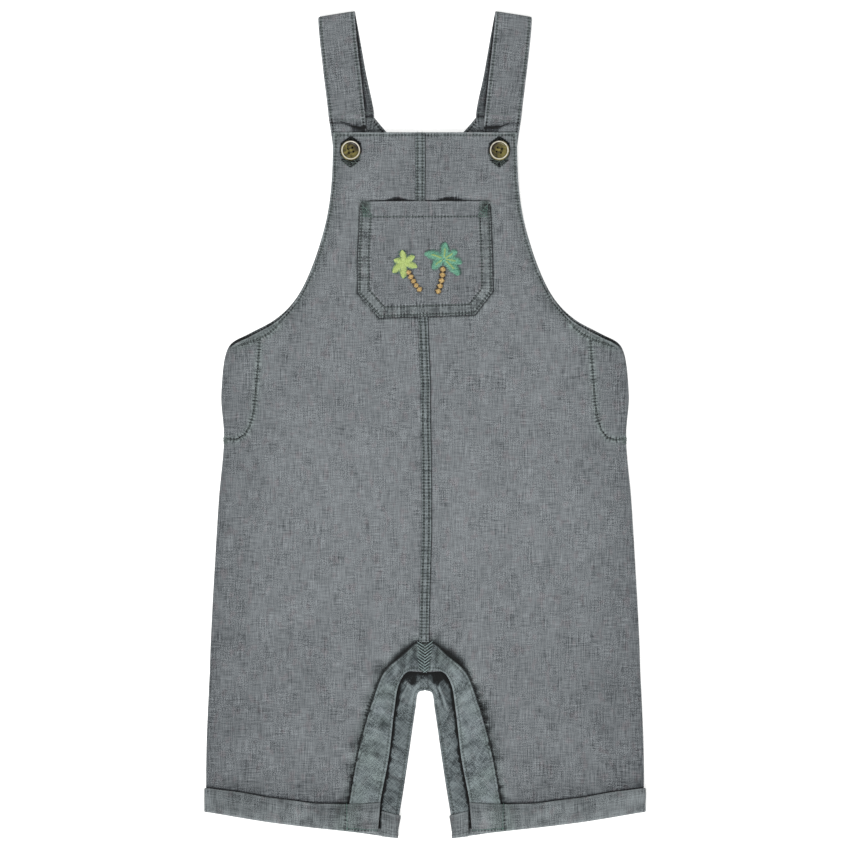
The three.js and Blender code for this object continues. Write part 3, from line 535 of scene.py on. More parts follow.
def threadMaterial(name, hexColour, paleHex, roughness, sheen):  # spun thread: soft gloss, two tones from its twist
    made, tree = newMaterial(name)
    place = addNode(tree, "ShaderNodeTexCoord")
    twist = addNode(tree, "ShaderNodeTexNoise", {"Vector": place.outputs["Object"], "Scale": 1600.0, "Detail": 2.0})
    share = addNode(tree, "ShaderNodeMapRange", {0: twist.outputs[0], 1: 0.35, 2: 0.65, 3: 0.0, 4: 1.0})
    colour = addNode(tree, "ShaderNodeMix", {0: share.outputs[0], 6: linear(hexColour), 7: linear(paleHex)},
                     data_type="RGBA")
    bump = addNode(tree, "ShaderNodeBump", {"Height": twist.outputs[0], "Strength": 0.6, "Distance": 0.00012})
    shader = addNode(tree, "ShaderNodeBsdfPrincipled", {
        "Base Color": colour.outputs[2], "Roughness": roughness, "Sheen Weight": sheen, "Normal": bump.outputs[0]})
    addNode(tree, "ShaderNodeOutputMaterial", {"Surface": shader.outputs[0]})
    return made


chambray = clothMaterial("washed cotton chambray", chambrayLook)
seamChambray = clothMaterial("felled chambray seam", seamLook)  # more layers wear harder: paler ridges, and dark hollows that are part wear and part painted shade
bandChambray = clothMaterial("bias chambray band", bandLook)  # cut on the cross, so smoother and a little greener
seamThread = threadMaterial("spun polyester sewing thread", "#3a4443", "#6b7674", 0.7, 0.1)
darkThread = threadMaterial("buttonhole thread", "#1a2321", "#6c7a75", 0.7, 0.0)
limeThread = threadMaterial("lime rayon embroidery thread", "#8fa457", "#b4c47a", 0.45, 0.2)
greenThread = threadMaterial("green rayon embroidery thread", "#35765d", "#74a990", 0.45, 0.2)
ochreThread = threadMaterial("ochre rayon embroidery thread", "#94733a", "#cdb277", 0.45, 0.2)
paleThread = threadMaterial("worn pale sewing thread", "#56686a", "#94a5a4", 0.7, 0.1)
mossThread = threadMaterial("moss green tacking thread", "#23403a", "#57786d", 0.7, 0.1)
# black thread that stands for painted shadow along the leg bands' seams
shadowThread = threadMaterial("black painted shadow thread", "#0c1010", "#2c3434", 0.8, 0.0)
brownThread = threadMaterial("brown cotton thread", "#1f150e", "#43331f", 0.6, 0.1)
print("finishes made")

# Folds that the cloth keeps from being folded and laid down: place, angle, run and half width of each, and its rise
# on the right and on the left half
foldColumns = ("x", "y", "angle", "run", "width", "right", "left")
foldRows = [
    (38, -120, 55, 40, 11, 0.6, 0.6), (66, -128, 62, 34, 11, 0.5, 0.5), (108, -212, -6, 34, 11, 0.6, 0.6),
    (112, -190, -4, 30, 10, -0.5, -0.5), (60, -22, 4, 26, 11, -0.7, -0.7), (66, -80, 6, 32, 11, -0.5, -0.5),
    (124, -70, 88, 55, 12, -0.5, -0.5), (84, -156, 84, 26, 11, -0.5, -0.5), (74, 62, 118, 30, 10, 0.5, 0.5),
    # smaller ones, which differ on the two halves
    (30, -150, 35, 16, 3.5, 0.32, 0.2), (44, -160, 22, 20, 4, 0.2, 0.34), (52, -186, 8, 18, 4, 0.26, 0.2),
    (60, -212, -4, 16, 4, 0.2, 0.28), (66, -240, -10, 18, 4.5, 0.28, 0.18),
    (22, -92, 74, 34, 5, 0.26, 0.34), (14, -52, 84, 30, 4, 0.18, -0.22), (96, 40, 150, 26, 5, 0.32, 0.24),
    (112, 24, 160, 20, 4.5, -0.3, -0.26), (120, 2, 100, 24, 5, 0.2, 0.3), (88, -6, 20, 24, 6, 0.3, 0.2),
    (40, 30, 60, 26, 6, 0.24, -0.2), (30, 62, 96, 18, 4, -0.22, 0.24), (132, -170, 80, 40, 6, 0.26, 0.34),
    (118, -236, 4, 26, 5, -0.3, -0.2), (92, -250, 60, 14, 4, 0.2, 0.26), (58, 140, 76, 26, 4, 0.18, 0.24),
    (22, 178, 12, 18, 5, -0.2, -0.26), (62, 108, 60, 22, 4.5, -0.22, -0.18),
]
folds = [dict(zip(foldColumns, row)) for row in foldRows]


def foldRelief(x, y, side, shift=0.0):
    total = np.zeros(np.shape(x))
    key = "right" if side > 0 else "left"
    for fold in folds:
        turn = math.radians(fold["angle"] + shift)
        dx, dy = np.abs(x) - fold["x"], y - fold["y"]
        along = (dx * math.cos(turn) + dy * math.sin(turn)) / fold["run"]
        bend = fold["width"] * 0.25 * ripple(along * 3 + fold["x"], 1.0, int(abs(fold["y"])) + side)
        across = (dy * math.cos(turn) - dx * math.sin(turn) + bend) / fold["width"]
        total += fold[key] * np.exp(-along**2 - across**2)
    return total


def crumple(x, y, seed, coarse=1.0, fine=1.0):
    # the soft unevenness of washed cloth, in three sizes, with short ridges among it
    ridges = 1 - np.abs(patches(x, y, 9, seed + 2, 2.6, 70)) * 2
    ridges2 = 1 - np.abs(patches(x, y, 7, seed + 5, 2.2, -35)) * 2
    return (coarse * (0.30 * patches(x, y, 38, seed) + 0.18 * patches(x, y, 19, seed + 1, 1.4, 60))
            + fine * (0.055 * ridges + 0.045 * ridges2 + 0.05 * patches(x, y, 5.5, seed + 3)))


def hemLine(gap, along, distance, seed, swell=0.18, groove=0.16, waves=0.13):
    # an edge turned in and stitched: a raised welt, a groove at the stitches and uneven puckers
    welt = swell * ease((distance + 0.8 - gap) / 1.4)
    pucker = waves * (ripple(along, 3.4, seed) + 0.6 * ripple(along, 1.9, seed + 1))
    return (welt - groove * hill(gap - distance, 0.55)
            + pucker * hill(gap - distance, 2.6))


def cuffRise(x, y):  # what lies in the turn-up stands on its back wall
    start = np.interp(np.abs(x), [15.4, 153], [-257.1, -243])
    return 1.5 * ease((start - y) / 10.2)


def sideOf(points, side):
    return [(side * x, y) for x, y in points]


sideNames = {1: "right", -1: "left"}
built = {}

# Back halves
backCut = {
    "spacing": 1.9, "coarse": 2, "wall": 0.95, "flat": (0.153, 0.500), "area": 0.0600,
    "inner": [(35.7, 214.5), (26.6, 204), (17, 195), (7.5, 190.6), (0.12, 189.6), (0.12, 146.6), (0.12, 108.1),
              (0.12, 87.1), (0.12, 73.1), (0.12, 62), (0.12, 52), (0.12, 43), (0.12, 20.6), (0.12, -9.4), (0.12, -48),
              (0.12, -110), (0.12, -158), (0.12, -185.8), (4.6, -187.4), (7, -199.8), (11.5, -231), (15.4, -257.1),
              (17.1, -267.2), (19.9, -284.4)],
    "outer": [(60.5, 211.8), (62.6, 201.9), (63.5, 193), (64, 185), (64.5, 176), (68.1, 146.6), (79.8, 108.1),
              (90.8, 87.1), (104.3, 73.6), (122.6, 63.5), (135.4, 56.5), (139.2, 49.5), (142.3, 20.6),
              (140.3, -9.4), (143.9, -52.8), (147.5, -110), (149.6, -150), (150.6, -175), (151.2, -187),
              (151.7, -199.8), (152.5, -221.5), (153, -243), (152.8, -253.4), (152.6, -269.3)],
    "neckSeam": [(35.7, 214.5), (26.6, 204), (17, 195), (7.5, 190.6), (0, 189.6)],
    "armhole": [(60.5, 211.8), (63.5, 193), (64.5, 176), (68.1, 146.6), (79.8, 108.1), (90.8, 87.1),
                (104.3, 73.6), (122.6, 63.5), (135.4, 56.5)],
    "edgeStitch": 1.8, "hemStitch": 6.4, "seamHalf": 3.2,
}
for side in (1, -1):
    cut = backCut
    plan = panelPlan(cut["inner"], cut["outer"], cut["spacing"] * draftStep, cut["coarse"])
    plan["x"] = plan["x"] * side
    x, y = plan["x"], plan["y"]
    edge = edgeDistance(plan)
    fade = ease(edge / 14)
    rise = cuffRise(x, y)
    armGap, armAlong = alongPath(sideOf(cut["armhole"], side), x, y, 12)
    neckGap, neckAlong = alongPath(sideOf(cut["neckSeam"], side), x, y, 12)
    hollow = 0.08 + fade * (0.22 + np.clip(0.8 * crumple(x, y, 40 + side) + 0.5 * foldRelief(x, y, side, 14), -0.2, 0.5))
    seamBand = ease((cut["seamHalf"] + 1.0 - np.abs(x)) / 1.2) * (y < 186)
    seamPucker = 0.10 * ripple(y, 3.6, 61 + side) * hill(np.abs(x) - cut["seamHalf"], 3.0)
    outward = (hemLine(armGap, armAlong, cut["hemStitch"], 71 + side, 0.15)
               + hemLine(neckGap, neckAlong, cut["edgeStitch"], 75 + side, 0.05) + 0.26 * seamBand)
    z = 0.52 + rise + np.maximum(hollow - 0.7 * outward + seamPucker, 0.02) * ease((1.2 - rise) / 1.2)
    # painted shade in the hem's stitch groove and at the seam's edge, painted light on the raised welts, and a pale rim
    # that is part wear and part painted highlight
    shade = (-0.10 * hill(armGap - cut["hemStitch"], 0.8) + 0.14 * hill(edge, 0.9)
             - 0.16 * hill(np.abs(x) - cut["seamHalf"], 0.6) * (y < 186) + 0.25 * (outward - 0.1))
    moss = 0.2 * hill(np.minimum(armGap, neckGap), 7) + 0.15 * seamBand
    # inside, the cloth is in the front's shade along the armhole, at the neck and in the crotch
    hollowed = ease((84 - y) / 12) * (0.1 + 0.2 * ease((68 - y) / 5) + 0.8 * hill(y - 59.6, 2.8)
                                      + 0.12 * ripple(armAlong, 6, 64 + side))
    insideShade = (-0.12 - np.exp(-(armGap / 3.4) ** 4) * (0.15 + 0.85 * hollowed) * (y < 180)
                   - 0.14 * np.exp(-((y - 205) / 7) ** 4) - 0.9 * np.exp(-((y + 176) / 8) ** 4) * (np.abs(x) < 30))
    built["back", side] = clothShell(
        "back_half_" + sideNames[side], plan, np.stack([x, y, z], -1), cut["wall"], chambray,
        fields={"shade": shade, "moss": moss, **rowFields(
            "A", (armGap - cut["edgeStitch"], armAlong, 0.7), (neckGap - 1.9, neckAlong, 0.7), (np.abs(x) - 2.9, y, 0.9)),
            **rowFields("B", (armGap - cut["hemStitch"], armAlong, 0.7))},
        otherSide={"shade": insideShade}, fineSide="lower")
print("back halves made")

# Bands inside the back's inner legs
frontFree = [(0, -173.2), (6.3, -171.9), (13.3, -173.6), (18.5, -182), (21.7, -200.5), (25.5, -232.7), (31.6, -265.4),
             (33.2, -284)]
backBandCut = {
    "spacing": 0.8, "wall": 0.9, "flat": (0.024, 0.140), "area": 0.0028,
    "free": [(0.12, -186.0), (4.7, -187.6), (7.1, -200), (11.7, -231), (15.7, -257.1), (17.4, -267.2),
             (20.1, -284.2)],
    "sewn": [(0.12, -164), (13, -166), (28, -187), (35, -228), (39, -254.7), (40.5, -264.8), (43, -281.6)],
}
for side in (1, -1):
    cut = backBandCut
    below = upperTree(built["back", side])
    plan = panelPlan(cut["free"], cut["sewn"], cut["spacing"] * draftStep)
    plan["x"] = plan["x"] * side
    x, y = plan["x"], plan["y"]
    under = blurred(filledIn(heightOn(below, x, y)), 2.0)
    along = plan["fromTop"]
    radial = ripple(along + 0.25 * plan["fromInner"], 5.0, 81 + side) + 0.6 * ripple(along, 2.8, 84 + side)
    puff = np.sin(np.pi * plan["share"]) * 0.12
    creases = 1 - 2 * np.abs(patches(x, y, 3.0, 82 + side, 2.2, 40 * side))
    relief = (0.09 * radial + 0.10 * creases) * ease(edgeDistance(plan) / 2 + 0.3) + puff
    grooves = sum(0.13 * hill(plan[key] - 1.9, 0.5) for key in ("fromInner", "fromOuter"))
    z = under + 0.25 + cut["wall"] / 2 + np.clip(relief, -0.12, 0.5) - 0.5 * grooves
    # painted light and shade on the band's relief, painted shade in its stitch grooves, and a pale rim that is part
    # wear and part painted highlight
    shade = 0.5 * relief - 0.9 * grooves + 0.12 * hill(edgeDistance(plan), 0.8)
    shade += 0.10 * patches(x, y, 5, 86 + side) + 0.10 * creases - 0.20
    # the front's band throws its shade here, deepest under the crotch's arch
    overhang, _ = beside(sideOf(frontFree, side), x, y, 20)
    overhang = -side * overhang
    spokes = ripple(np.degrees(np.arctan2(np.abs(x), -158 - y)), 2.6, 88 + side) * ease((y + 206) / 16)
    z += 0.20 * spokes
    # painted light and shade in wrinkles radiating from the crotch
    shade += 0.16 * ripple(0.8 * along + 6 * patches(x, y, 14, 89 + side), 2.6, 90 + side) * ease((-y - 185) / 10)
    ragged = 0.7 * ripple(along, 1.7, 92 + side)
    shade -= 1.3 * ease((2.7 + 0.8 * spokes + ragged - overhang) / 1.6) + 0.14 * ease((9 - overhang) / 8)
    arch = hill(np.abs(x) - 8.6, 3.6)
    shade -= (0.45 + 0.9 * arch) * ease((y + 179.5 + 4.0 * arch + 1.4 * spokes) / 2.6)
    # painted light and shade along the same spokes
    shade += 0.45 * spokes * (y < -171)
    bias = np.stack([(x + y) * 0.7071, (y - x) * 0.7071], -1)
    built["backBand", side] = clothShell(
        "back_leg_band_" + sideNames[side], plan, np.stack([x, y, z], -1), cut["wall"], bandChambray, uv=bias,
        fields={"shade": shade, "moss": np.full(x.shape, 0.15), **rowFields("A", (plan["fromInner"] - 1.8, along, 0.5))})
print("back leg bands made")

# Straps, each one ribbon turned back on itself at the shoulder
strapCut = {
    "spacing": 1.1, "wall": 1.0, "foldRadius": 1.15, "flat": (0.025, 0.190), "area": 0.0047,
    # inX, inY, outX, outY and the height of the ribbon's middle
    "stations": [
        (36.6, 206.5, 61.4, 204.5, 1.8), (35.9, 216.4, 60.8, 214.6, 1.8), (36.9, 224, 62, 222, 0.55),
        (41, 243, 66, 240, 0.55), (46, 271, 71, 268, 0.55), (49, 287.6, 74.2, 283.6, 0.55),
        (49.4, 287.6, 74.6, 283.6, 2.85), (48.1, 271, 73.4, 268, 1.95), (44.9, 243, 70.2, 240, 1.95),
        (42.9, 224, 68, 222, 2.0), (42.1, 216.4, 67.2, 214.6, 3.1), (40.6, 202, 65, 200, 3.1),
        (38, 175.3, 62, 174, 3.1)],
    "foldAfter": 5, "edgeStitch": 1.6,
}


def ribbonStations(cut):
    stations = []
    for k, (inX, inY, outX, outY, height) in enumerate(cut["stations"]):
        stations.append((inX, inY, outX, outY, height))
        if k == cut["foldAfter"]:
            after = cut["stations"][k + 1]
            for degrees in range(-75, 90, 15):
                turn, share = math.radians(degrees), (degrees + 90) / 180
                forward = cut["foldRadius"] * math.cos(turn)
                stations.append((
                    inX + (after[0] - inX) * share, inY + forward, outX + (after[2] - outX) * share,
                    outY + forward, height + (after[4] - height) * (1 + math.sin(turn)) / 2))
    return np.array(stations)


def ribbonPlan(stations, spacing):
    # a ribbon between two edges in space, each row square to its run
    dense = np.linspace(0, 1, 4000)
    inner = throughPoints(stations[:, [0, 1, 4]], dense)
    outer = throughPoints(stations[:, [2, 3, 4]], dense)
    s = (arcLength(inner) + arcLength(outer)) / 2
    along = borderSteps(s[-1], spacing)
    width = np.linalg.norm(outer - inner, axis=1).mean()
    across = borderSteps(width, spacing)
    a, b = (np.stack([np.interp(along, s, e[:, k]) for k in range(3)], 1) for e in (inner, outer))
    share = (across / width)[None, :, None]
    middle = a[:, None, :] * (1 - share) + b[:, None, :] * share
    shape = middle.shape[:2]
    fromInner = np.repeat(across[None, :], shape[0], 0)
    fromTop = np.repeat(along[:, None], shape[1], 1)
    return middle, {
        "fromInner": fromInner, "fromOuter": width - fromInner, "fromTop": fromTop,
        "fromFoot": s[-1] - fromTop, "coarse": 1}


for side in (1, -1):
    cut = strapCut
    middle, plan = ribbonPlan(ribbonStations(cut), cut["spacing"] * draftStep)
    middle[..., 0] *= side
    plan["turned"] = -side
    normals = -side * gridNormals(middle)
    inner, along = plan["fromInner"], plan["fromTop"]
    edgeGap = np.minimum(plan["fromInner"], plan["fromOuter"])
    visible = ease(plan["fromFoot"] / 8)
    wave = 0.10 * ripple(along, 3.2, 91 + side) + 0.07 * ripple(along + inner, 2.0, 93 + side)
    relief = (wave * hill(edgeGap - cut["edgeStitch"], 2.2)
              + 0.10 * crumple(inner + 300 * side, along, 95, 0.8, 1.6)
              + 0.10 * np.sin(np.pi * inner / (inner.max() + 1e-6)))
    groove = hill(edgeGap - cut["edgeStitch"], 0.45)
    # just above the bib the ribbon rises over its edge in a soft crease
    onTop = middle[..., 2] > 2.4
    creaseAt = 208.0 + 0.16 * (inner - 4) + 0.9 * ripple(inner, 6, 97 + side) + 0.5 * ripple(inner, 2.4, 99 + side)
    crease = hill(middle[..., 1] - creaseAt, 0.9) * onTop
    hump = hill(middle[..., 1] - 213.5 - 0.12 * inner, 2.6) * onTop
    pinch = ease((creaseAt + 0.6 - middle[..., 1]) / 1.5) * ease((13 - inner) / 5) * onTop
    behind = np.arange(len(middle))[:, None] < np.argmax(middle[:, middle.shape[1] // 2, 1]) - 3
    middle = middle + normals * (visible * (relief - 0.10 * groove))[..., None] * 0.8
    middle[..., 2] += 0.35 * hump - 0.55 * crease
    middle[..., 2] = np.maximum(middle[..., 2], 0.53)
    # painted light and shade on the ribbon's relief; pale edges, part wear and part painted highlight; painted shadow
    # in the crease, in the pinch above the bib and just above the crease; a painted highlight on the hump
    shade = (0.5 * relief + 0.16 * hill(edgeGap, 0.8) - (0.5 + 0.7 * ease((22 - inner) / 14)) * crease
             - 0.6 * pinch * (1 + 0.8 * ripple(inner, 2.6, 98 + side)) + 0.14 * hump - 0.12
             - 0.20 * hill(middle[..., 1] - creaseAt - 3, 2.5) * onTop)
    showing = np.interp(middle[..., 1], [204, 216, 224, 243, 271, 288], [4.2, 6.2, 6.0, 3.9, 2.1, 0.3]) - inner
    # the loop's inside is in shadow behind the fold, and its outside isn't
    insideShade = shade - behind * (
        0.26 + 0.75 * ease((2.6 - showing) / 2.4) * ease((middle[..., 1] - 214) / 12)
        + 0.7 * hill(middle[..., 1] - 215.2, 0.7))
    uv = np.stack([inner + 90 * side, along], -1)
    built["strap", side] = clothShell(
        "strap_ribbon_" + sideNames[side], plan, middle, cut["wall"], chambray, uv=uv,
        fields={"shade": shade, "moss": 0.2 * hill(edgeGap - 1.6, 1.2),
                **rowFields("A", (edgeGap - 1.6, along + 60 * (inner > 12), np.where(behind, 0.25, 0.7)))},
        otherSide={"shade": insideShade})
print("straps made")

# Front halves, each bib, body and leg in one
frontCut = {
    "spacing": 1.05, "coarse": 4, "wall": 0.95, "flat": (0.153, 0.489), "area": 0.0620,
    # inX, inY, outX, outY, then the air under the inner edge, the fullest place and the side edge
    "rows": [
        (0.12, 204, 64, 204, 2.3, 2.9, 2.9), (0.12, 172, 65, 172, 2.0, 2.9, 2.9), (0.12, 152, 67.2, 152, 1.4, 1.7, 0.9),
        (0.12, 130, 72, 130, 1.0, 1.3, 0.4), (0.12, 108, 79.4, 108, 1.0, 1.4, 0.3), (0.12, 87, 89.9, 87, 1.1, 1.6, 0.3),
        (0.12, 73, 103.2, 72.3, 1.2, 1.7, 0.3), (0.12, 62, 121.8, 61.6, 1.2, 1.8, 0.3),
        (0.12, 52, 134.7, 54.8, 1.2, 1.9, 0.3), (0.12, 43, 138.6, 48.5, 1.2, 2.0, 0.3),
        (0.12, 20, 142.4, 20.6, 1.3, 2.1, 0.3), (0.12, -9.4, 140.5, -9.4, 1.3, 2.2, 0.3),
        (0.12, -48, 144.1, -52.8, 1.4, 2.3, 0.3), (0.12, -95, 147, -100, 1.5, 2.3, 0.3),
        (0.12, -135, 148.7, -130, 1.8, 2.3, 0.3), (0.12, -172, 150, -158, 2.0, 2.3, 0.3),
        (13.8, -173, 150.4, -172, 2.0, 2.3, 0.3), (19.4, -182, 150.9, -183, 2.0, 2.3, 0.3),
        (22.7, -200.5, 151.7, -199, 2.0, 2.3, 0.3), (26.5, -231, 152.6, -221.5, 2.0, 2.3, 0.3),
        (31, -255.5, 153, -243, 2.0, 2.1, 0.4), (32.6, -265.6, 152.9, -253.4, 2.0, 2.0, 0.4),
        (34.2, -284, 152.7, -269.4, 2.0, 1.9, 0.4)],
    "fullFrom": 0.3, "fallFrom": 0.5,
    "bibEdge": [(0, 204), (64, 204)],
    "armhole": [(64, 204), (65, 172), (67.2, 152), (72, 130), (79.4, 108), (89.9, 87), (103.2, 72.3),
                (121.8, 61.6), (134.7, 54.8)],
    "scyeRow": [(103.6, 68.4), (109.2, 63.6), (113.4, 61.2), (117.9, 59.0), (122.5, 57.6), (130, 55)],
    "vent": {"right": [(115.5, 59.8), (117.3, 37.4), (119, 15.7), (120.4, 5.2), (123.2, -3.8), (127.4, -9.4),
                       (133, -10.9), (140, -10.2)],
             "left": [(115.5, 60.5), (117.1, 37.5), (118.6, 19.6), (119.7, 8.7), (122.5, -1.1), (126, -7.3),
                      (132.3, -10.9), (140, -10.1)]},
    "slit": [(138.6, 48.5), (142.4, 20.6), (140.5, -9.4)],
    "bandEdge": [(0, -152.6), (5.9, -153.6), (14.7, -161.3), (28, -173.2), (36.2, -193.2), (45.5, -226),
                 (52.4, -263.2), (54.4, -282)],
    "edgeStitch": 1.8, "seamHalf": 3.5,
}
pocketCut = {
    "spacing": 0.75, "coarse": 3, "wall": 0.9, "flat": (0.0945, 0.082), "area": 0.0074,
    # leftX, leftY, rightX, rightY and how far the mouth gapes
    "rows": [(-45.4, 155.8, 45.2, 156, 0.9), (-45.6, 145, 45.9, 145.2, 0.3), (-46.9, 118.6, 47.1, 119, 0),
             (-47, 91.7, 47.5, 92.8, 0), (-40, 82.6, 41.6, 84.8, 0), (-32, 74.2, 35.1, 76.4, 0)],
    "outline": [(-45.4, 155.8), (-45.6, 145), (-46.9, 118.6), (-47, 91.7), (-32, 74.2), (35.1, 76.4), (47.5, 92.8),
                (47.1, 119), (45.9, 145.2), (45.2, 156)],
    "outerRow": 1.5, "innerRow": 7.6, "hemRow": 10.6,
}
buttonPlace = {"x": 51.9, "y": 191.5, "holeY": 190.3, "halfLength": 10.1, "halfWidth": 2.4}


def frontLift(rows, place, share, cut):
    inner, full, outer = (tableColumn(rows, k, place) for k in (4, 5, 6))
    climb, fall = ease(share / cut["fullFrom"]), ease((share - cut["fallFrom"]) / (1 - cut["fallFrom"]))
    lift = inner + (full - inner) * climb
    return lift + (outer - lift) * fall


def softMax(a, b, blend=0.12):
    return (a + b + np.sqrt((a - b) ** 2 + blend**2)) / 2


for side in (1, -1):
    cut = frontCut
    rows = cut["rows"]
    name = sideNames[side]
    plan = panelPlan([r[:2] for r in rows], [r[2:4] for r in rows],
                     cut["spacing"] * draftStep, cut["coarse"])
    plan["x"] = plan["x"] * side
    x, y = plan["x"], plan["y"]
    edge = edgeDistance(plan)
    fade = ease(plan["share"] / 0.3) * ease((1 - plan["share"]) / 0.4)
    nearEdge = ease(plan["fromOuter"] / 9) * 0.75 + 0.25
    armGap, armAlong = alongPath(sideOf(cut["armhole"], side), x, y, 14)
    bibGap, bibAlong = alongPath(sideOf(cut["bibEdge"], side), x, y, 14)
    rowGap, rowAlong = alongPath(sideOf(cut["scyeRow"], side), x, y, 10)
    ventGap, ventAlong = alongPath(sideOf(cut["vent"][name], side), x, y, 14)
    slitGap, slitAlong = alongPath(sideOf(cut["slit"], side), x, y, 12)
    bandGap, bandAlong = alongPath(sideOf(cut["bandEdge"], side), x, y, 16)
    pocketGap, pocketAlong = alongPath(pocketCut["outline"], x, y, 14)
    centreGap = np.abs(np.abs(x) - cut["seamHalf"])
    onSeam = (y > -152) & (y < 203)
    seed = 100 + 10 * side
    small = nearEdge * (crumple(x, y, seed, 1.0, 0.75) + 0.05 * patches(x, y, 3.4, seed + 7))
    seams = (hemLine(armGap, armAlong, cut["edgeStitch"], seed + 11, 0.05, 0.12)
             + hemLine(bibGap, bibAlong, cut["edgeStitch"], seed + 13, 0.05, 0.12, 0.10))
    for gap, along, depth, waves, k in ((rowGap, rowAlong, 0.16, 0.16, 15), (ventGap, ventAlong, 0.20, 0.17, 17),
                                        (slitGap, slitAlong, 0.0, 0.10, 19)):
        wave = waves * (ripple(along, 3.6, seed + k) + 0.6 * ripple(along, 2.1, seed + k + 1))
        seams = seams - depth * hill(gap, 0.6) + wave * hill(gap, 3.2)
    outsidePocket = hill(pocketGap, 4.5)
    seams = seams + 0.20 * (ripple(pocketAlong, 4.2, seed + 21) + 0.5 * ripple(pocketAlong, 2.4, seed + 22)) * outsidePocket
    seams = seams + 0.12 * onSeam * hill(centreGap, 5.0) * (
        ripple(y, 4.6, seed + 23) + 0.7 * ripple(y, 2.3, seed + 24))
    # the cloth sinks where the inner-leg band is sewn on, swells beside it and is drawn into short wrinkles
    outsideBand = (np.abs(x) > np.interp(y, [p[1] for p in cut["bandEdge"]][::-1],
                                         [p[0] for p in cut["bandEdge"]][::-1])) | (y > -153)
    drawn = ripple(bandAlong, 7.0, seed + 25) + 0.6 * ripple(bandAlong, 3.6, seed + 26)
    band = (-0.55 * hill(bandGap, 1.6) + 0.28 * hill(bandGap - 5.5, 3.0) * outsideBand
            + 0.26 * drawn * hill(bandGap - 2, 5.5) * outsideBand)
    tuck = -0.35 * hill(y - np.interp(np.abs(x), [31, 77, 111, 154], [-264.2, -265, -260.5, -254]), 1.6)
    lift = frontLift(rows, plan["place"], plan["share"], cut)
    relief = fade * foldRelief(x, y, side) + small + seams + band + tuck
    below = upperTree(built["back", side], built["backBand", side], built["strap", side])
    floorHeight = blurred(filledIn(heightOn(below, x, y)), 1.5)
    z = 1.0 + cuffRise(x, y) + lift + cut["wall"] / 2 + 0.05 + relief
    z = softMax(z, floorHeight + cut["wall"] / 2 + 0.15)
    button = np.hypot(x - side * buttonPlace["x"], y - buttonPlace["y"])
    z -= 0.12 * np.exp(-(button / 9) ** 4)
    # a pale rim at the armhole and bib edges, part wear and part painted highlight
    worn = hill(np.minimum(armGap, bibGap), 0.8)
    # painted light on ridges and painted shade in hollows of the cloth and its seams, and painted shade towards the
    # armhole and the side edge
    shade = (0.35 * (small - blurred(small, 8)) + 0.6 * (seams - blurred(seams, 4)) + 0.26 * worn
             + 0.03 * patches(x, y, 12, seed + 31) - 0.10 * ease((14 - armGap) / 12) - 0.06 * ease((10 - plan["fromOuter"]) / 9))
    # painted shading over large areas: dark towards the sides, the hem and the bib's top middle, lighter in the body's
    # middle
    shade -= 0.09 * ease((44 - plan["fromOuter"]) / 40) * ease((70 - y) / 30) + 0.06 * ease((-225 - y) / 35)
    shade += 0.06 * np.exp(-((np.abs(x) - 45) / 45) ** 2 - ((y + 60) / 50) ** 2)
    shade -= 0.08 * hill(x, 30) * ease((y - 158) / 8) + 0.05 * ease((np.abs(x) - 30) / 60) * ease((-y - 120) / 40)
    # painted shadow beside the inner-leg band, deepest at the arch's shoulders, in short teeth between its puckers
    shoulder = hill(bandAlong - (23 if side > 0 else 20), 13)
    lower = ease((bandAlong - 32) / 22)
    teeth = lower * np.clip(ripple(bandAlong, 2.6, seed + 27) + 0.25, -0.2, 1)
    width = 1.5 + (2.7 if side > 0 else 2.0) * shoulder + 2.0 * teeth
    shade -= (1.2 + 0.4 * shoulder) * hill(bandGap, width) * outsideBand
    shade -= 0.20 * ease((10 - bandGap) / 9) * outsideBand
    # painted light and shade on the puckers beside the band
    shade += 0.16 * drawn * hill(bandGap - 5, 4) * outsideBand
    # painted shadow along the pocket's sides and foot
    shade -= 0.7 * hill(pocketGap - 0.1, 0.65) * (y < 153)
    # the pocket's mouth gapes and shades the bib above it in two hollows
    aboveMouth = y - np.interp(x, [-45.4, 45.2], [155.8, 156.0])
    hollowReach = 0.5 + 2.4 * hill(x + 19.5, 7.0) + 2.8 * hill(x - 17.5, 7.5)
    gape = ease((hollowReach + 0.8 - aboveMouth) / 1.6) * (aboveMouth > -3) * (np.abs(x) < 39)
    shade -= 1.1 * gape
    z = z - 0.5 * blurred(gape, 1.0)
    # shade round the button, in the diamond that the buttonhole's stitching makes
    dx, dy = np.abs(x - side * buttonPlace["x"]), y - buttonPlace["holeY"]
    fan = np.minimum(1.35 * (11.3 - dy), 1.25 * (11.0 + dy)) - dx
    shade -= 1.6 * ease(fan / 0.8 + 0.3) * ease((np.abs(dy) - 4.5) / 2 + 0.2) * (dx < 7)
    shade -= 0.75 * ease((8.5 - button) / 1.3)
    # painted shadow on the leg just above the turn-up's top edge
    tuckLine = np.interp(np.abs(x), [31, 44, 77, 92, 111, 130, 154], [-264.2, -265.7, -265.3, -263.1, -260.8, -257.3, -254.4])
    shade -= 0.7 * hill(y - tuckLine - 0.3, 0.9) + 0.14 * hill(y - tuckLine - 2, 3.5)
    moss = 0.45 * np.clip(hill(bandGap, 5) + hill(np.minimum(ventGap, rowGap), 3)
                          + 0.6 * hill(armGap, 5) + 0.5 * hill(bibGap, 4)
                          + 0.5 * hill(pocketGap, 2.2), 0, 1)
    built["front", side] = clothShell(
        "front_half_" + name, plan, np.stack([x, y, z], -1), cut["wall"], chambray,
        fields={"shade": shade, "moss": moss, **rowFields(
            "A", (armGap - 1.9, armAlong, 0.6 * ease((108 - np.abs(x)) / 6) * ease((203 - y) / 0.8)),
            (bibGap - 1.9, bibAlong, 0.6 * ease((63 - np.abs(x)) / 0.8)),
            (*beside(sideOf(cut["vent"][name], side), x, y, 14), 1.25)),
            **rowFields("B", (*beside(sideOf(cut["scyeRow"], side), x, y, 14), 1.0))})
print("front halves made")

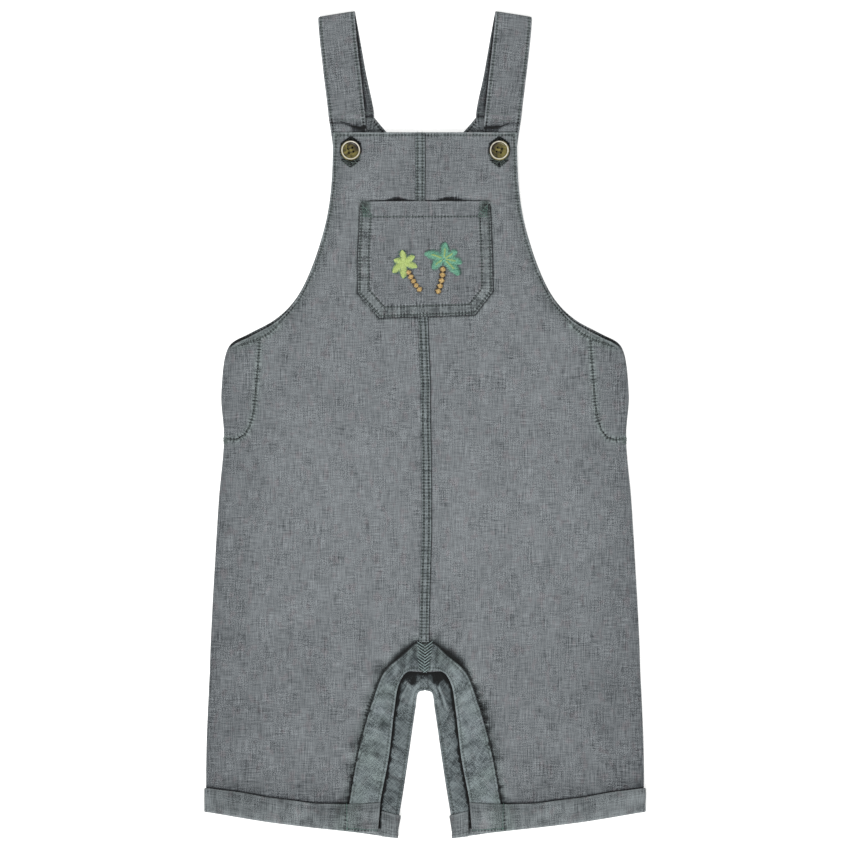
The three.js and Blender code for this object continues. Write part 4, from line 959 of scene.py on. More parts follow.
# Bands on the front's inner legs
frontBandCut = {
    "spacing": 0.66, "coarse": 2, "wall": 0.95, "flat": (0.021, 0.145), "area": 0.0029,
    "free": [(0.12, -173.2)] + frontFree[1:],
    "sewn": [(0.12, -152.6)] + frontCut["bandEdge"][1:-1] + [(54.4, -281.7)],
}
fronts = upperTree(built["front", 1], built["front", -1])
for side in (1, -1):
    cut = frontBandCut
    plan = panelPlan(cut["free"], cut["sewn"], cut["spacing"] * draftStep, cut["coarse"])
    plan["x"] = plan["x"] * side
    x, y = plan["x"], plan["y"]
    seed = 140 + 10 * side
    under = blurred(filledIn(heightOn(fronts, x, y)), 3.0)
    along, across = plan["fromTop"], plan["fromInner"]
    arch = 0.55 + 0.45 * ease((75 - along) / 40)
    drawn = ripple(along + 0.35 * across, 5.2, seed) + 0.7 * ripple(along - 0.3 * across, 3.0, seed + 1)
    gathers = 0.26 * arch * drawn * ease(edgeDistance(plan) / 2.5 + 0.35)
    creases = 1 - 2 * np.abs(patches(x, y, 3.6, seed + 2, 2.4, 40 * side))
    gathers += 0.16 * creases + 0.12 * patches(x, y, 2.2, seed + 3) + 0.05 * patches(x, y, 9, seed + 3, 1.8, 50)
    grooves = sum(hill(plan[key] - 1.9, 0.5) for key in ("fromInner", "fromOuter"))
    puff = 0.30 * np.sin(np.pi * np.clip(plan["share"], 0, 1)) ** 0.7
    z = under + 0.28 + cut["wall"] / 2 + np.clip(gathers + puff - 0.16 * grooves, -0.1, 0.9)
    swirl = ripple(along * 0.8 + 7 * patches(x, y, 12, seed + 8), 2.2, seed + 9)
    gathers = gathers + 0.10 * swirl
    # painted light and shade on the gathers; pale edges, part wear and part painted highlight; dark towards the top of
    # the arch; painted shadow in teeth along the sewn edge
    shade = (0.9 * gathers + 0.28 * hill(across, 0.9) + 0.10 * hill(plan["fromOuter"] - 1, 0.7)
             - 0.04 - 0.30 * ease((36 - along) / 26) + 0.05 * patches(x, y, 5, seed + 4))
    teeth = (0.2 + 1.5 * ripple(along, 2.6, seed + 6)) * ease((along - 34) / 20)
    shade -= 0.8 * ease((teeth + 0.4 - plan["fromOuter"]) / 1.4)
    closed = ease((4.6 - np.abs(x)) / 1.2) * (y > -175)
    shade -= 0.42 * closed
    bias = np.stack([(x * side + y) * 0.7071, (y - x * side) * 0.7071], -1)
    built["frontBand", side] = clothShell(
        "front_leg_band_" + sideNames[side], plan, np.stack([x, y, z], -1), cut["wall"], bandChambray, uv=bias,
        fields={"shade": shade, "moss": 0.28 + 0.3 * patches(x, y, 9, seed + 5) + 0.5 * closed,
                **rowFields("A", (across - 1.8, along, 0.6), (plan["fromOuter"] - 1.6, along, 0.4))})
print("front leg bands made")

# Felled centre seam
seamCut = {
    "spacing": 0.62, "half": 3.4, "top": 203.2, "foot": -152.1, "wall": 0.9, "rows": (-2.0, 1.5),
    "flat": (0.010, 0.3553), "area": 0.0025,
    # the laid cloth lets the seam wander: y, then how far its middle is from the centre line
    "drift": [(203.2, -3.3), (160, -3.5), (110, -2.4), (57, -0.7), (31, 0.3), (3, 0.7), (-25, 1.3), (-80, 1.3),
              (-109, 0.35), (-135, -0.3), (-152.1, -0.4)]}
cut = seamCut
plan = panelPlan([(-cut["half"], cut["top"]), (-cut["half"], cut["foot"])],
                 [(cut["half"], cut["top"]), (cut["half"], cut["foot"])], cut["spacing"] * draftStep)
drift = np.interp(plan["y"], *zip(*cut["drift"][::-1])) + 0.15 * ripple(plan["y"], 30, 160)
across, y = plan["x"], plan["y"]
x = across + drift
under = blurred(filledIn(heightOn(fronts, x, y)), 1.6)
gathers = 0.13 * (ripple(y + 0.3 * x, 2.6, 161) + 0.7 * ripple(y - 0.4 * x, 1.5, 162))
grooves = hill(across - cut["rows"][0], 0.5) + hill(across - cut["rows"][1], 0.5)
puff = 0.16 * np.cos(np.pi * across / (2 * cut["half"])) ** 2
z = under + 0.26 + cut["wall"] / 2 + np.clip(gathers + puff - 0.14 * grooves, -0.1, 0.5)
# painted light and shade on the gathers, a painted highlight on the ridge by the right edge, and painted shadow along
# both edges
shade = (0.5 * gathers + 0.14 * hill(across - 2.5, 0.6) - 0.95 * ease((across - 2.95) / 0.35)
         - 0.35 * ease((-3.1 - across) / 0.3) - 0.04)
built["seam"] = clothShell(
    "felled_centre_seam", plan, np.stack([x, y, z], -1), cut["wall"], seamChambray,
    fields={"shade": shade, "moss": np.full(x.shape, 0.2), **rowFields("A", (across - cut["rows"][0], cut["top"] - y, 1.2)),
            **rowFields("B", (across - cut["rows"][1], cut["top"] - y, 1.2))})
print("centre seam made")

# Patch pocket
cut = pocketCut
rows = cut["rows"]
plan = panelPlan([r[:2] for r in rows], [r[2:4] for r in rows],
                 cut["spacing"] * draftStep, cut["coarse"])
places = plan["place"]
straight = lambda k: np.interp(places, np.linspace(0, 1, len(rows)), [r[k] for r in rows])  # its corners are sharp
x = straight(0) * (1 - plan["share"]) + straight(2) * plan["share"]
y = straight(1) * (1 - plan["share"]) + straight(3) * plan["share"]
plan["x"], plan["y"] = x, y
outlineGap, outlineAlong = alongPath(cut["outline"], x, y, 16)
plan["fromInner"] = plan["fromOuter"] = np.maximum(outlineGap, 0)
bodyTree = upperTree(built["front", 1], built["front", -1], built["seam"])
under = filledIn(heightOn(bodyTree, x, y))
under = softMax(blurred(under, 3.0), blurred(under, 1.0), 0.2)
halfShare = 2 * plan["share"] - 1
mouth = tableColumn(rows, 4, places) * np.maximum(0, 1 - ((np.abs(halfShare) - 0.5) / 0.42) ** 2)
mouth *= 1 + 0.35 * ripple(x, 9, 171)
fromMouth = plan["fromTop"]
outerWave = ripple(outlineAlong, 4.0, 172) + 0.6 * ripple(outlineAlong, 2.2, 173)
washboard = outerWave * hill(outlineGap - 4.5, 3.6)
hemWave = ripple(x, 4.4, 174) * hill(fromMouth - 10.6, 3.4)
grooves = (hill(outlineGap - cut["outerRow"], 0.5)
           + hill(outlineGap - cut["innerRow"], 0.5) * (fromMouth > 5)
           + hill(fromMouth - cut["hemRow"], 0.5) * (outlineGap > 7))
relief = (0.20 * washboard + 0.12 * hemWave + 0.5 * crumple(x, y, 175) - 0.17 * np.clip(grooves, 0, 1)
          + 0.10 * ease((8.5 - outlineGap) / 1.5))
middleFade = ease(outlineGap / 1.5)
z = under + 0.28 + cut["wall"] / 2 + mouth + np.clip(relief, -0.1, 0.9) * (0.3 + 0.7 * middleFade)
# painted light and shade on the relief and washboard puckers, pale rims that are part wear and part painted highlight,
# and painted shade along the outer edge
shade = (0.5 * (relief - blurred(relief, 7)) + 0.10 * hill(outlineGap, 0.8)
         + 0.14 * hill(fromMouth - 0.8, 0.8) - 0.06)
shade += 0.07 * washboard
shade -= 0.8 * ease((0.45 - outlineGap) / 0.4) * (fromMouth > 2) + 0.08 * ease((8.5 - outlineGap) / 1.5)
corner = np.exp(-(np.hypot((np.abs(x) - 42) / 0.66, y - 151) / 5.6) ** 4)
shade -= 0.5 * corner
moss = np.clip(0.25 * ease((8.5 - outlineGap) / 1.5) + 0.9 * corner, 0, 1)
sideRow = (np.where((fromMouth > 9) | (outlineGap < 4), outlineGap - cut["innerRow"], 6.0), outlineAlong)
hemRow = (np.where(outlineGap > 7, fromMouth - cut["hemRow"], 6.0), x + 200)
built["pocket"] = clothShell(
    "bib_pocket", plan, np.stack([x, y, z], -1), cut["wall"], chambray,
    fields={"shade": shade, "moss": moss, **rowFields("A", (outlineGap - cut["outerRow"], outlineAlong, 1.0)),
            **rowFields("B", (*sideRow, 0.9), (*hemRow, 0.55))})
print("pocket made")

# Turn-ups: over the front, round the side, under the back and over its open edge
cuffCut = {
    "spacing": 1.1, "wall": 1.0, "endX": 31.3, "endSlant": 1.9, "sideX": 152.9, "round": 1.15, "flapX": 30.2,
    "flapHeight": 4.6, "backHeight": 0.62, "flat": (0.282, 0.0175), "area": 0.0044,
    # x, top and foot on the front, top and foot on the back
    "edges": [
        (17, -264.2, -286, -274.1, -289.6), (31, -264.2, -286, -270.2, -288), (44, -265.7, -285.4, -267.6, -286.1),
        (77, -265.3, -282, -263.6, -282), (92, -263.1, -280.2, -262, -280.2),
        (111, -260.8, -277.8, -260, -277.8), (130, -257.3, -274.8, -257.9, -274.8),
        (154, -254.4, -270.7, -255.2, -270.7)],
    "openTop": (17.1, -267.2), "openFoot": (19.9, -285.2), "hemInset": 2,
}


def cuffEdge(k, x):
    return blurredTable(np.abs(x), [r[0] for r in cuffCut["edges"]], [r[k] for r in cuffCut["edges"]], 5)


def blurredTable(x, xs, values, soften):
    return sum(np.interp(x + d, xs, values) for d in (-soften, -soften / 2, 0, soften / 2, soften)) / 5


def cuffSeat(side, tree):  # height of what the turn-up's front lies on, as a grid over x and the share down
    xs = np.arange(30, 156, 0.8 * draftStep)
    shares = np.linspace(0, 1, 24)
    gx, gs = np.meshgrid(xs, shares)
    gy = cuffEdge(1, gx) * (1 - gs) + cuffEdge(2, gx) * gs
    gy = np.maximum(gy, cuffEdge(2, gx) + cuffCut["hemInset"])
    heights = filledIn(heightOn(tree, side * gx, gy))
    return xs, shares, softMax(blurred(heights, 2.2), heights, 0.3)


def readGrid(xs, ys, field, x, y):
    i = np.clip(np.interp(x, xs, np.arange(len(xs))), 0, len(xs) - 1.001)
    j = np.clip(np.interp(y, ys, np.arange(len(ys))), 0, len(ys) - 1.001)
    a, b = i.astype(int), j.astype(int)
    s, t = i - a, j - b
    return ((field[b, a] * (1 - s) + field[b, a + 1] * s) * (1 - t)
            + (field[b + 1, a] * (1 - s) + field[b + 1, a + 1] * s) * t)


for side in (1, -1):
    cut = cuffCut
    spacing = cut["spacing"] * draftStep
    legs = upperTree(built["front", side], built["frontBand", side])
    seatXs, seatShares, seat = cuffSeat(side, legs)
    depth = 17.3
    down = borderSteps(depth, spacing) / depth
    lines = []
    for r in down:
        startX = cut["endX"] + cut["endSlant"] * r
        front = np.interp(np.arange(0, 101), [0, 1, 2, 3, 100], startX + np.array([0, 0.3, 0.8, 1.5, cut["sideX"] - startX]))
        frontY = cuffEdge(1, front) * (1 - r) + cuffEdge(2, front) * r
        roll = 0.34 * np.sin(np.pi * r) ** 0.6
        frontZ = readGrid(seatXs, seatShares, seat, front, np.full(front.shape, r)) + 0.3 + cut["wall"] / 2
        frontZ = frontZ + roll + 0.10 * patches(front, np.full(front.shape, 30 * r), 9, 181 + side, 2.0, -23)
        sink = ease((front - 146) / 7)
        frontZ = frontZ - 0.25 * sink
        turnAt = np.radians(np.linspace(90, -90, 12)[1:-1])
        top, low = frontZ[-1], cut["backHeight"]
        sideX = cut["sideX"] + cut["round"] * np.cos(turnAt)
        sideZ = (top + low) / 2 + (top - low) / 2 * np.sin(turnAt)
        sideY = np.full(sideX.shape, frontY[-1])
        gapY0 = cuffEdge(3, 17.0) * (1 - r) + cuffEdge(4, 17.0) * r
        (topX, topY), (footX, footY) = cut["openTop"], cut["openFoot"]
        gapX = np.interp(-gapY0, [-topY, -footY], [topX, footX]) - 0.3
        back = np.linspace(cut["sideX"], gapX + 0.6, 90)
        backY = cuffEdge(3, back) * (1 - r) + cuffEdge(4, back) * r
        backZ = low + 0.16 * (patches(back, np.full(back.shape, 30 * r), 11, 184 + side) + 1) * ease(
            np.minimum(back - gapX, cut["sideX"] - back) / 12)
        innerAt = np.radians(np.linspace(-90, -270, 11)[1:-1])
        innerX = gapX + 0.1 + 0.6 * np.cos(innerAt)
        innerZ = (cut["flapHeight"] + low) / 2 + (cut["flapHeight"] - low) / 2 * np.sin(innerAt)
        innerY = np.full(innerX.shape, gapY0)
        flap = np.linspace(gapX + 0.6, cut["flapX"], 10)
        flapY = cuffEdge(3, flap) * (1 - r) + cuffEdge(4, flap) * r
        flapZ = np.full(flap.shape, cut["flapHeight"] + 0.12 * np.sin(np.pi * r))
        lines.append(np.stack([np.concatenate([front, sideX, back, innerX, flap]),
                               np.concatenate([frontY, sideY, backY, innerY, flapY]),
                               np.concatenate([frontZ, sideZ, backZ, innerZ, flapZ])], 1))
    middle = np.array(lines)
    # along the turn-up, points are spaced evenly in place of the stations' own steps
    resampled = []
    s0 = arcLength(middle[len(middle) // 2])
    stations = borderSteps(s0[-1], spacing)
    for line in middle:
        s = arcLength(line)
        resampled.append(np.stack([np.interp(stations / s0[-1] * s[-1], s, line[:, k]) for k in range(3)], 1))
    middle = np.array(resampled)
    middle[..., 2] = blurred(middle[..., 2], 0.8)
    around = np.repeat(stations[None, :], len(down), 0)
    fromTop = np.repeat((down * depth)[:, None], len(stations), 1)
    middle[..., 0] *= side
    plan = {"fromInner": around, "fromOuter": stations[-1] - around, "fromTop": fromTop,
            "fromFoot": depth - fromTop, "coarse": 1, "turned": -side}
    outward = -side * gridNormals(middle)
    edge = edgeDistance(plan)
    seed = 190 + 7 * side
    wrinkle = (0.16 * patches(around, fromTop * 2.2, 12, seed, 1.0, 20) + 0.12 * patches(around, fromTop, 5.5, seed + 1)
               + 0.12 * ripple(around + 0.5 * fromTop, 6.5, seed + 2) * hill(plan["fromFoot"], 6))
    middle = middle + outward * (wrinkle * ease(edge / 3))[..., None]
    middle[..., 2] = np.maximum(middle[..., 2], cut["backHeight"] - 0.05)
    onFront = around < 122
    standing = ripple(around + 1.5 * patches(around, fromTop, 9, seed + 4), 3.6, seed + 5)
    # painted light and shade on the wrinkles and standing ripples; pale rims at the foot fold and the top, part wear
    # and part painted highlight; painted shade just below the top
    shade = (0.6 * wrinkle + 0.20 * hill(plan["fromFoot"], 1.2) + 0.10 * hill(fromTop, 0.8)
             - 0.12 * hill(fromTop - 3, 2.2) - 0.05 + 0.08 * patches(around, fromTop, 8, seed + 3)
             + 0.10 * standing)
    nearBand = np.exp(-((around - 22) / 9) ** 4) * onFront
    shade -= 0.10 * nearBand
    uv = np.stack([around, -fromTop], -1)
    built["cuff", side] = clothShell(
        "turn_up_" + sideNames[side], plan, middle, cut["wall"], chambray, uv=uv,
        fields={"shade": shade, "moss": 0.15 + 0.4 * nearBand,
                **rowFields("A", (around - 23.3, fromTop, 0.4), (np.where(around < 25, fromTop - 15.7, 9.0), around, 0.4))})
print("turn-ups made")

# Buttonholes are cut through the fronts where the buttons stand
for side in (1, -1):
    place = buttonPlace
    top = [(place["halfWidth"] * 0.8 * math.sin(math.pi * k / 12) ** 0.8 * w,
            place["halfLength"] * (1 - k / 6)) for w, ks in ((1, range(0, 13)), (-1, range(11, 0, -1))) for k in ks]
    count = len(top)
    ring = [(side * place["x"] + a, place["holeY"] + b, z) for z in (0.5, 9.0) for a, b in top]
    walls = [[k, (k + 1) % count, count + (k + 1) % count, count + k] for k in range(count)]
    cutter = meshObject("buttonhole cutter", ring, walls + [list(range(count))[::-1], list(range(count, 2 * count))],
                        chambray, smooth=False)
    cutter.data.validate()
    panel = built["front", side]
    opening = panel.modifiers.new("buttonhole", "BOOLEAN")
    opening.operation, opening.object, opening.solver = "DIFFERENCE", cutter, "MANIFOLD"
    bpy.context.view_layer.update()
    holed = bpy.data.meshes.new_from_object(panel.evaluated_get(bpy.context.evaluated_depsgraph_get()))
    panel.modifiers.remove(opening)
    print("buttonhole", sideNames[side], len(panel.data.polygons), "to", len(holed.polygons), "faces")
    panel.data = holed
    bpy.data.objects.remove(cutter)

# Buttons: polyester cast to look like horn, a pale rim round a dished olive-brown middle
buttonLook = {
    "sides": 64, "holeCircle": 2.05, "holeRadius": 0.74, "holeTurn": -16,
    "rim": "#ccc8ba", "rimShade": "#a29c8a", "horn": "#45401d", "hornDark": "#14080b", "hornPale": "#7f7640",
    # radius and height of the turned profile, from the underside's middle to the dish's
    "profile": [(0, 0.0), (4.6, 0.0), (6.0, 0.12), (6.75, 0.55), (7.08, 1.15), (7.05, 1.75), (6.75, 2.25),
                (6.3, 2.5), (5.85, 2.42), (5.5, 2.1), (5.2, 1.72), (4.7, 1.5), (3.4, 1.4), (1.6, 1.36), (0, 1.35)],
}


def hornMaterial(look):
    made, tree = newMaterial("cast polyester horn")  # glossy, swirled in two depths, with a pale turned rim
    place = addNode(tree, "ShaderNodeTexCoord").outputs["Object"]
    rim = addNode(tree, "ShaderNodeAttribute", attribute_name="rim").outputs["Fac"]
    warped = addNode(tree, "ShaderNodeTexNoise", {"Vector": place, "Scale": 170.0, "Detail": 3.0, "Distortion": 1.6})
    fleck = addNode(tree, "ShaderNodeTexNoise", {"Vector": place, "Scale": 700.0, "Detail": 3.0})
    swirl = addNode(tree, "ShaderNodeMapRange", {0: warped.outputs[0], 1: 0.35, 2: 0.68, 3: 0.0, 4: 1.0}).outputs[0]
    spots = addNode(tree, "ShaderNodeMapRange", {0: fleck.outputs[0], 1: 0.3, 2: 0.7, 3: 0.0, 4: 1.0}).outputs[0]

    parts = addNode(tree, "ShaderNodeSeparateXYZ", {0: place}).outputs
    fromSide = addNode(tree, "ShaderNodeMath", {0: parts["X"]}, operation="ABSOLUTE").outputs[0]
    height = addNode(tree, "ShaderNodeMath", {0: parts["Y"], 1: fromSide}, operation="SUBTRACT").outputs[0]
    # painted shadow in each dish, growing up towards the bib's middle
    low = (buttonPlace["y"] + planShift[1] - buttonPlace["x"]) * mm
    darker = addNode(tree, "ShaderNodeMapRange", {
        0: height, 1: low + 0.5 * mm, 2: low + 7 * mm, 3: 0.0, 4: 0.96}).outputs[0]
    edge = addNode(tree, "ShaderNodeMix", {0: swirl, 6: linear(look["rim"]), 7: linear(look["rimShade"])},
                   data_type="RGBA").outputs[2]
    colour = linear(look["horn"])
    for share, over in ((spots, linear(look["hornDark"])), (swirl, linear(look["hornPale"])),
                        (darker, linear(look["hornDark"])), (rim, edge)):
        colour = addNode(tree, "ShaderNodeMix", {0: share, 6: colour, 7: over}, data_type="RGBA").outputs[2]
    bump = addNode(tree, "ShaderNodeBump", {"Height": warped.outputs[0], "Strength": 0.15, "Distance": 0.0002})
    shader = addNode(tree, "ShaderNodeBsdfPrincipled", {
        "Base Color": colour, "Roughness": 0.34, "Specular IOR Level": 0.3, "IOR": 1.5,
        "Normal": bump.outputs[0]})
    addNode(tree, "ShaderNodeOutputMaterial", {"Surface": shader.outputs[0]})
    return made


def tubeMesh(points, radius, sides=6):  # vertices and faces of a closed round tube along points
    points = np.asarray(points, float)
    runs = np.gradient(points, axis=0)
    runs /= np.linalg.norm(runs, axis=1, keepdims=True)
    upward = np.array([0.0, 0.31, 0.95])
    across = np.cross(runs, upward)
    across /= np.linalg.norm(across, axis=1, keepdims=True)
    other = np.cross(across, runs)
    turns = np.linspace(0, 2 * np.pi, sides, endpoint=False)
    vertices = [points[k] + radius * (np.cos(t) * across[k] + np.sin(t) * other[k])
                for k in range(len(points)) for t in turns]
    faces = [[k * sides + i, k * sides + (i + 1) % sides, (k + 1) * sides + (i + 1) % sides, (k + 1) * sides + i]
             for k in range(len(points) - 1) for i in range(sides)]
    faces += [list(range(sides))[::-1], list(range(len(vertices) - sides, len(vertices)))]
    return vertices, faces


def joined(parts):
    vertices, faces = [], []
    for partVertices, partFaces in parts:
        base = len(vertices)
        vertices += list(partVertices)
        faces += [[base + v for v in face] for face in partFaces]
    return vertices, faces


hornLook = hornMaterial(buttonLook)
for side in (1, -1):
    look = buttonLook
    lowest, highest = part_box("button_" + sideNames[side])
    centre = np.array([side * buttonPlace["x"], buttonPlace["y"], lowest.z / mm + 1.3])
    profile = evenly(look["profile"], 0.28)
    profile[0], profile[-1] = look["profile"][0], look["profile"][-1]
    vertices = [(0, 0, profile[0][1]), (0, 0, profile[-1][1])]
    sides = look["sides"]
    for r, h in profile[1:-1]:
        vertices += [(r * math.cos(t), r * math.sin(t), h) for t in np.linspace(0, 2 * np.pi, sides, endpoint=False)]
    at = lambda ring, k: 2 + ring * sides + k % sides
    rings = len(profile) - 2
    faces = [[at(i, k), at(i, k + 1), at(i + 1, k + 1), at(i + 1, k)] for i in range(rings - 1) for k in range(sides)]
    faces += [[0, at(0, k + 1), at(0, k)] for k in range(sides)]
    faces += [[1, at(rings - 1, k), at(rings - 1, k + 1)] for k in range(sides)]
    vertices = np.array(vertices) + centre
    button = meshObject("horn_button_" + sideNames[side], vertices, faces, hornLook)
    holeParts = []
    for k in range(4):
        turn = math.radians(45 + 90 * k + side * look["holeTurn"])
        hx, hy = (centre[0] + look["holeCircle"] * math.cos(turn), centre[1] + look["holeCircle"] * math.sin(turn))
        rows = [(-1, 0), (1.1, 0), (1.42, 0.1), (2.2, 0.3)]  # height, and how much wider than the hole
        ring = [(hx + (look["holeRadius"] + wider) * math.cos(a), hy + (look["holeRadius"] + wider) * math.sin(a),
                 centre[2] + z) for z, wider in rows for a in np.linspace(0, 2 * np.pi, 20, endpoint=False)]
        sideFaces = [[i * 20 + j, i * 20 + (j + 1) % 20, (i + 1) * 20 + (j + 1) % 20, (i + 1) * 20 + j]
                     for i in range(3) for j in range(20)]
        holeParts.append((ring, sideFaces + [list(range(20))[::-1], list(range(60, 80))]))
    drill = meshObject("hole drill", *joined(holeParts), hornLook, smooth=False)
    holes = button.modifiers.new("holes", "BOOLEAN")
    holes.operation, holes.object, holes.solver = "DIFFERENCE", drill, "MANIFOLD"
    bpy.context.view_layer.update()
    drilled = bpy.data.meshes.new_from_object(button.evaluated_get(bpy.context.evaluated_depsgraph_get()))
    button.modifiers.remove(holes)
    button.data = drilled
    bpy.data.objects.remove(drill)
    drilled.shade_smooth()
    drilled.set_sharp_from_angle(angle=math.radians(42))
    radii = np.array([math.hypot(v.co.x / mm - planShift[0] - centre[0], v.co.y / mm - planShift[1] - centre[1])
                      for v in drilled.vertices])
    # the pale rim stops short of the outer wall, which keeps the dark horn as a painted shadow round the button
    drilled.attributes.new("rim", "FLOAT", "POINT").data.foreach_set(
        "value", (ease((radii - 5.55) / 0.3) * ease((6.6 - radii) / 0.2)).astype(np.float32))
    built["button", side] = button
    threads = []
    for across in (-1, 1):  # two bars of thread between the holes, and the shank wound under the button
        bar = []
        for t in np.linspace(0, 1, 13):
            lx, ly = (2 * t - 1) * 1.48, across * 1.45
            turn = math.radians(side * look["holeTurn"])
            bar.append((centre[0] + lx * math.cos(turn) - ly * math.sin(turn),
                        centre[1] + lx * math.sin(turn) + ly * math.cos(turn),
                        centre[2] + 1.52 - 1.7 * abs(2 * t - 1) ** 6))
        threads += [tubeMesh(np.array(bar) + (0, d, 0), 0.2) for d in (-0.22, 0.2)]
    shank = [(centre[0] + 1.05 * math.cos(t), centre[1] + 1.05 * math.sin(t), centre[2] + 0.15 - 1.75 * t / (14 * math.pi))
             for t in np.linspace(0, 14 * math.pi, 150)]
    threads.append(tubeMesh(shank, 0.22))
    core = [(centre[0], centre[1], centre[2] + z) for z in (0.3, -0.4, -1.0, -1.6)]
    threads.append(tubeMesh(core, 0.9, 12))
    built["buttonThread", side] = meshObject("button_thread_" + sideNames[side], *joined(threads),
                                             threadMaterial("brown button thread " + sideNames[side], "#2c2612", "#4a4224", 0.6, 0.1))
print("buttons made")


# Sewing. One node tree lays stitches along a path; turned sideways, they are satin stitches.
def stitchNodes():
    tree = bpy.data.node_groups.new("stitches along a path", "GeometryNodeTree")
    for label, kind in (("Path", "Geometry"), ("Stitch spacing", "Float"), ("Stitch length", "Float"),
                        ("Thread thickness", "Float"), ("Turn", "Float"), ("Under side", "Float"),
                        ("Unevenness", "Float"), ("Seed", "Int"), ("Thread", "Material")):
        tree.interface.new_socket(label, in_out="INPUT", socket_type="NodeSocket" + kind)
    tree.interface.new_socket("Stitches", in_out="OUTPUT", socket_type="NodeSocketGeometry")
    given = addNode(tree, "NodeGroupInput").outputs
    curve = addNode(tree, "GeometryNodeMeshToCurve", {"Mesh": given["Path"]})
    spaced = addNode(tree, "GeometryNodeResampleCurve", {
        "Curve": curve.outputs[0], "Length": given["Stitch spacing"]}, mode="LENGTH")
    tangent = addNode(tree, "GeometryNodeInputTangent")
    least = addNode(tree, "ShaderNodeMath", {0: given["Unevenness"], 1: -1.0}, operation="MULTIPLY")
    swing = addNode(tree, "FunctionNodeRandomValue", {
        "Min": least.outputs[0], "Max": given["Unevenness"], "Seed": given["Seed"]}, data_type="FLOAT")
    # the random node keeps its float sockets after its vector ones
    for socket in swing.inputs:
        if socket.type == "VALUE" and socket.name in ("Min", "Max"):
            tree.links.new(least.outputs[0] if socket.name == "Min" else given["Unevenness"], socket)
    swung = next(s for s in swing.outputs if s.type == "VALUE")
    angle = addNode(tree, "ShaderNodeMath", {0: given["Turn"], 1: swung}, operation="ADD")
    heading = addNode(tree, "ShaderNodeVectorRotate", {
        "Vector": tangent.outputs[0], "Angle": angle.outputs[0]}, rotation_type="Z_AXIS")
    aligned = addNode(tree, "FunctionNodeAlignRotationToVector", {"Vector": heading.outputs[0]},
                      axis="X", pivot_axis="Z")
    over = addNode(tree, "ShaderNodeCombineXYZ", {"X": given["Under side"]})
    overTurn = addNode(tree, "FunctionNodeEulerToRotation", {0: over.outputs[0]})
    facing = addNode(tree, "FunctionNodeRotateRotation", {
        0: aligned.outputs[0], 1: overTurn.outputs[0]}, rotation_space="LOCAL")
    arch = addNode(tree, "GeometryNodeCurveQuadraticBezier", {
        "Resolution": 4, "Start": (-0.5, 0, -0.75), "Middle": (0, 0, 1.35), "End": (0.5, 0, -0.75)})
    round_ = addNode(tree, "GeometryNodeCurvePrimitiveCircle", {"Resolution": 5, "Radius": 0.5})
    thread = addNode(tree, "GeometryNodeCurveToMesh", {
        "Curve": arch.outputs[0], "Profile Curve": round_.outputs[0], "Fill Caps": True})
    reach = addNode(tree, "GeometryNodeInputNamedAttribute", {"Name": "reach"}, data_type="FLOAT")
    length = addNode(tree, "ShaderNodeMath", {
        0: given["Stitch length"], 1: next(s for s in reach.outputs if s.type == "VALUE")}, operation="MULTIPLY")
    size = addNode(tree, "ShaderNodeCombineXYZ", {
        "X": length.outputs[0], "Y": given["Thread thickness"], "Z": given["Thread thickness"]})
    laid = addNode(tree, "GeometryNodeInstanceOnPoints", {
        "Points": spaced.outputs[0], "Instance": thread.outputs[0], "Rotation": facing.outputs[0],
        "Scale": size.outputs[0]})
    real = addNode(tree, "GeometryNodeRealizeInstances", {"Geometry": laid.outputs[0]})
    soft = addNode(tree, "GeometryNodeSetShadeSmooth", {"Geometry": real.outputs[0]})
    finished = addNode(tree, "GeometryNodeSetMaterial", {
        "Geometry": soft.outputs[0], "Material": given["Thread"]})
    addNode(tree, "NodeGroupOutput", {0: finished.outputs[0]})
    return tree


stitchTree = stitchNodes()


def sewn(name, lines, thread, spacing, length, thickness, turn=0.0, under=False, uneven=0.05, seed=1, lift=0.0):
    # each line is its points in millimetres with, where it has one, the reach of its stitches
    vertices, edges, reaches = [], [], []
    for points, reach in lines:
        base = len(vertices)
        vertices += [((p + planShift) * mm).tolist() for p in points + (0, 0, -lift if under else lift)]
        edges += [(base + k, base + k + 1) for k in range(len(points) - 1)]
        reaches += list(reach)
    mesh = bpy.data.meshes.new(name + " path")
    mesh.from_pydata(vertices, edges, [])
    mesh.attributes.new("reach", "FLOAT", "POINT").data.foreach_set("value", np.array(reaches, np.float32))
    path = bpy.data.objects.new(name + " path", mesh)
    scene.collection.objects.link(path)
    layer = path.modifiers.new("stitches", "NODES")
    layer.node_group = stitchTree
    values = {"Stitch spacing": spacing * mm, "Stitch length": length * mm, "Thread thickness": thickness * mm,
              "Turn": turn, "Under side": math.pi if under else 0.0, "Unevenness": uneven, "Seed": seed,
              "Thread": thread}
    for item in stitchTree.interface.items_tree:
        if item.in_out == "INPUT" and item.name in values:
            layer[item.identifier] = values[item.name]
    bpy.context.view_layer.update()
    laid = bpy.data.meshes.new_from_object(path.evaluated_get(bpy.context.evaluated_depsgraph_get()))
    bpy.data.objects.remove(path)
    laid.name = name
    made = bpy.data.objects.new(name, laid)
    scene.collection.objects.link(made)
    built[name] = made
    print(name, "laid,", len(laid.polygons), "faces")
    return made


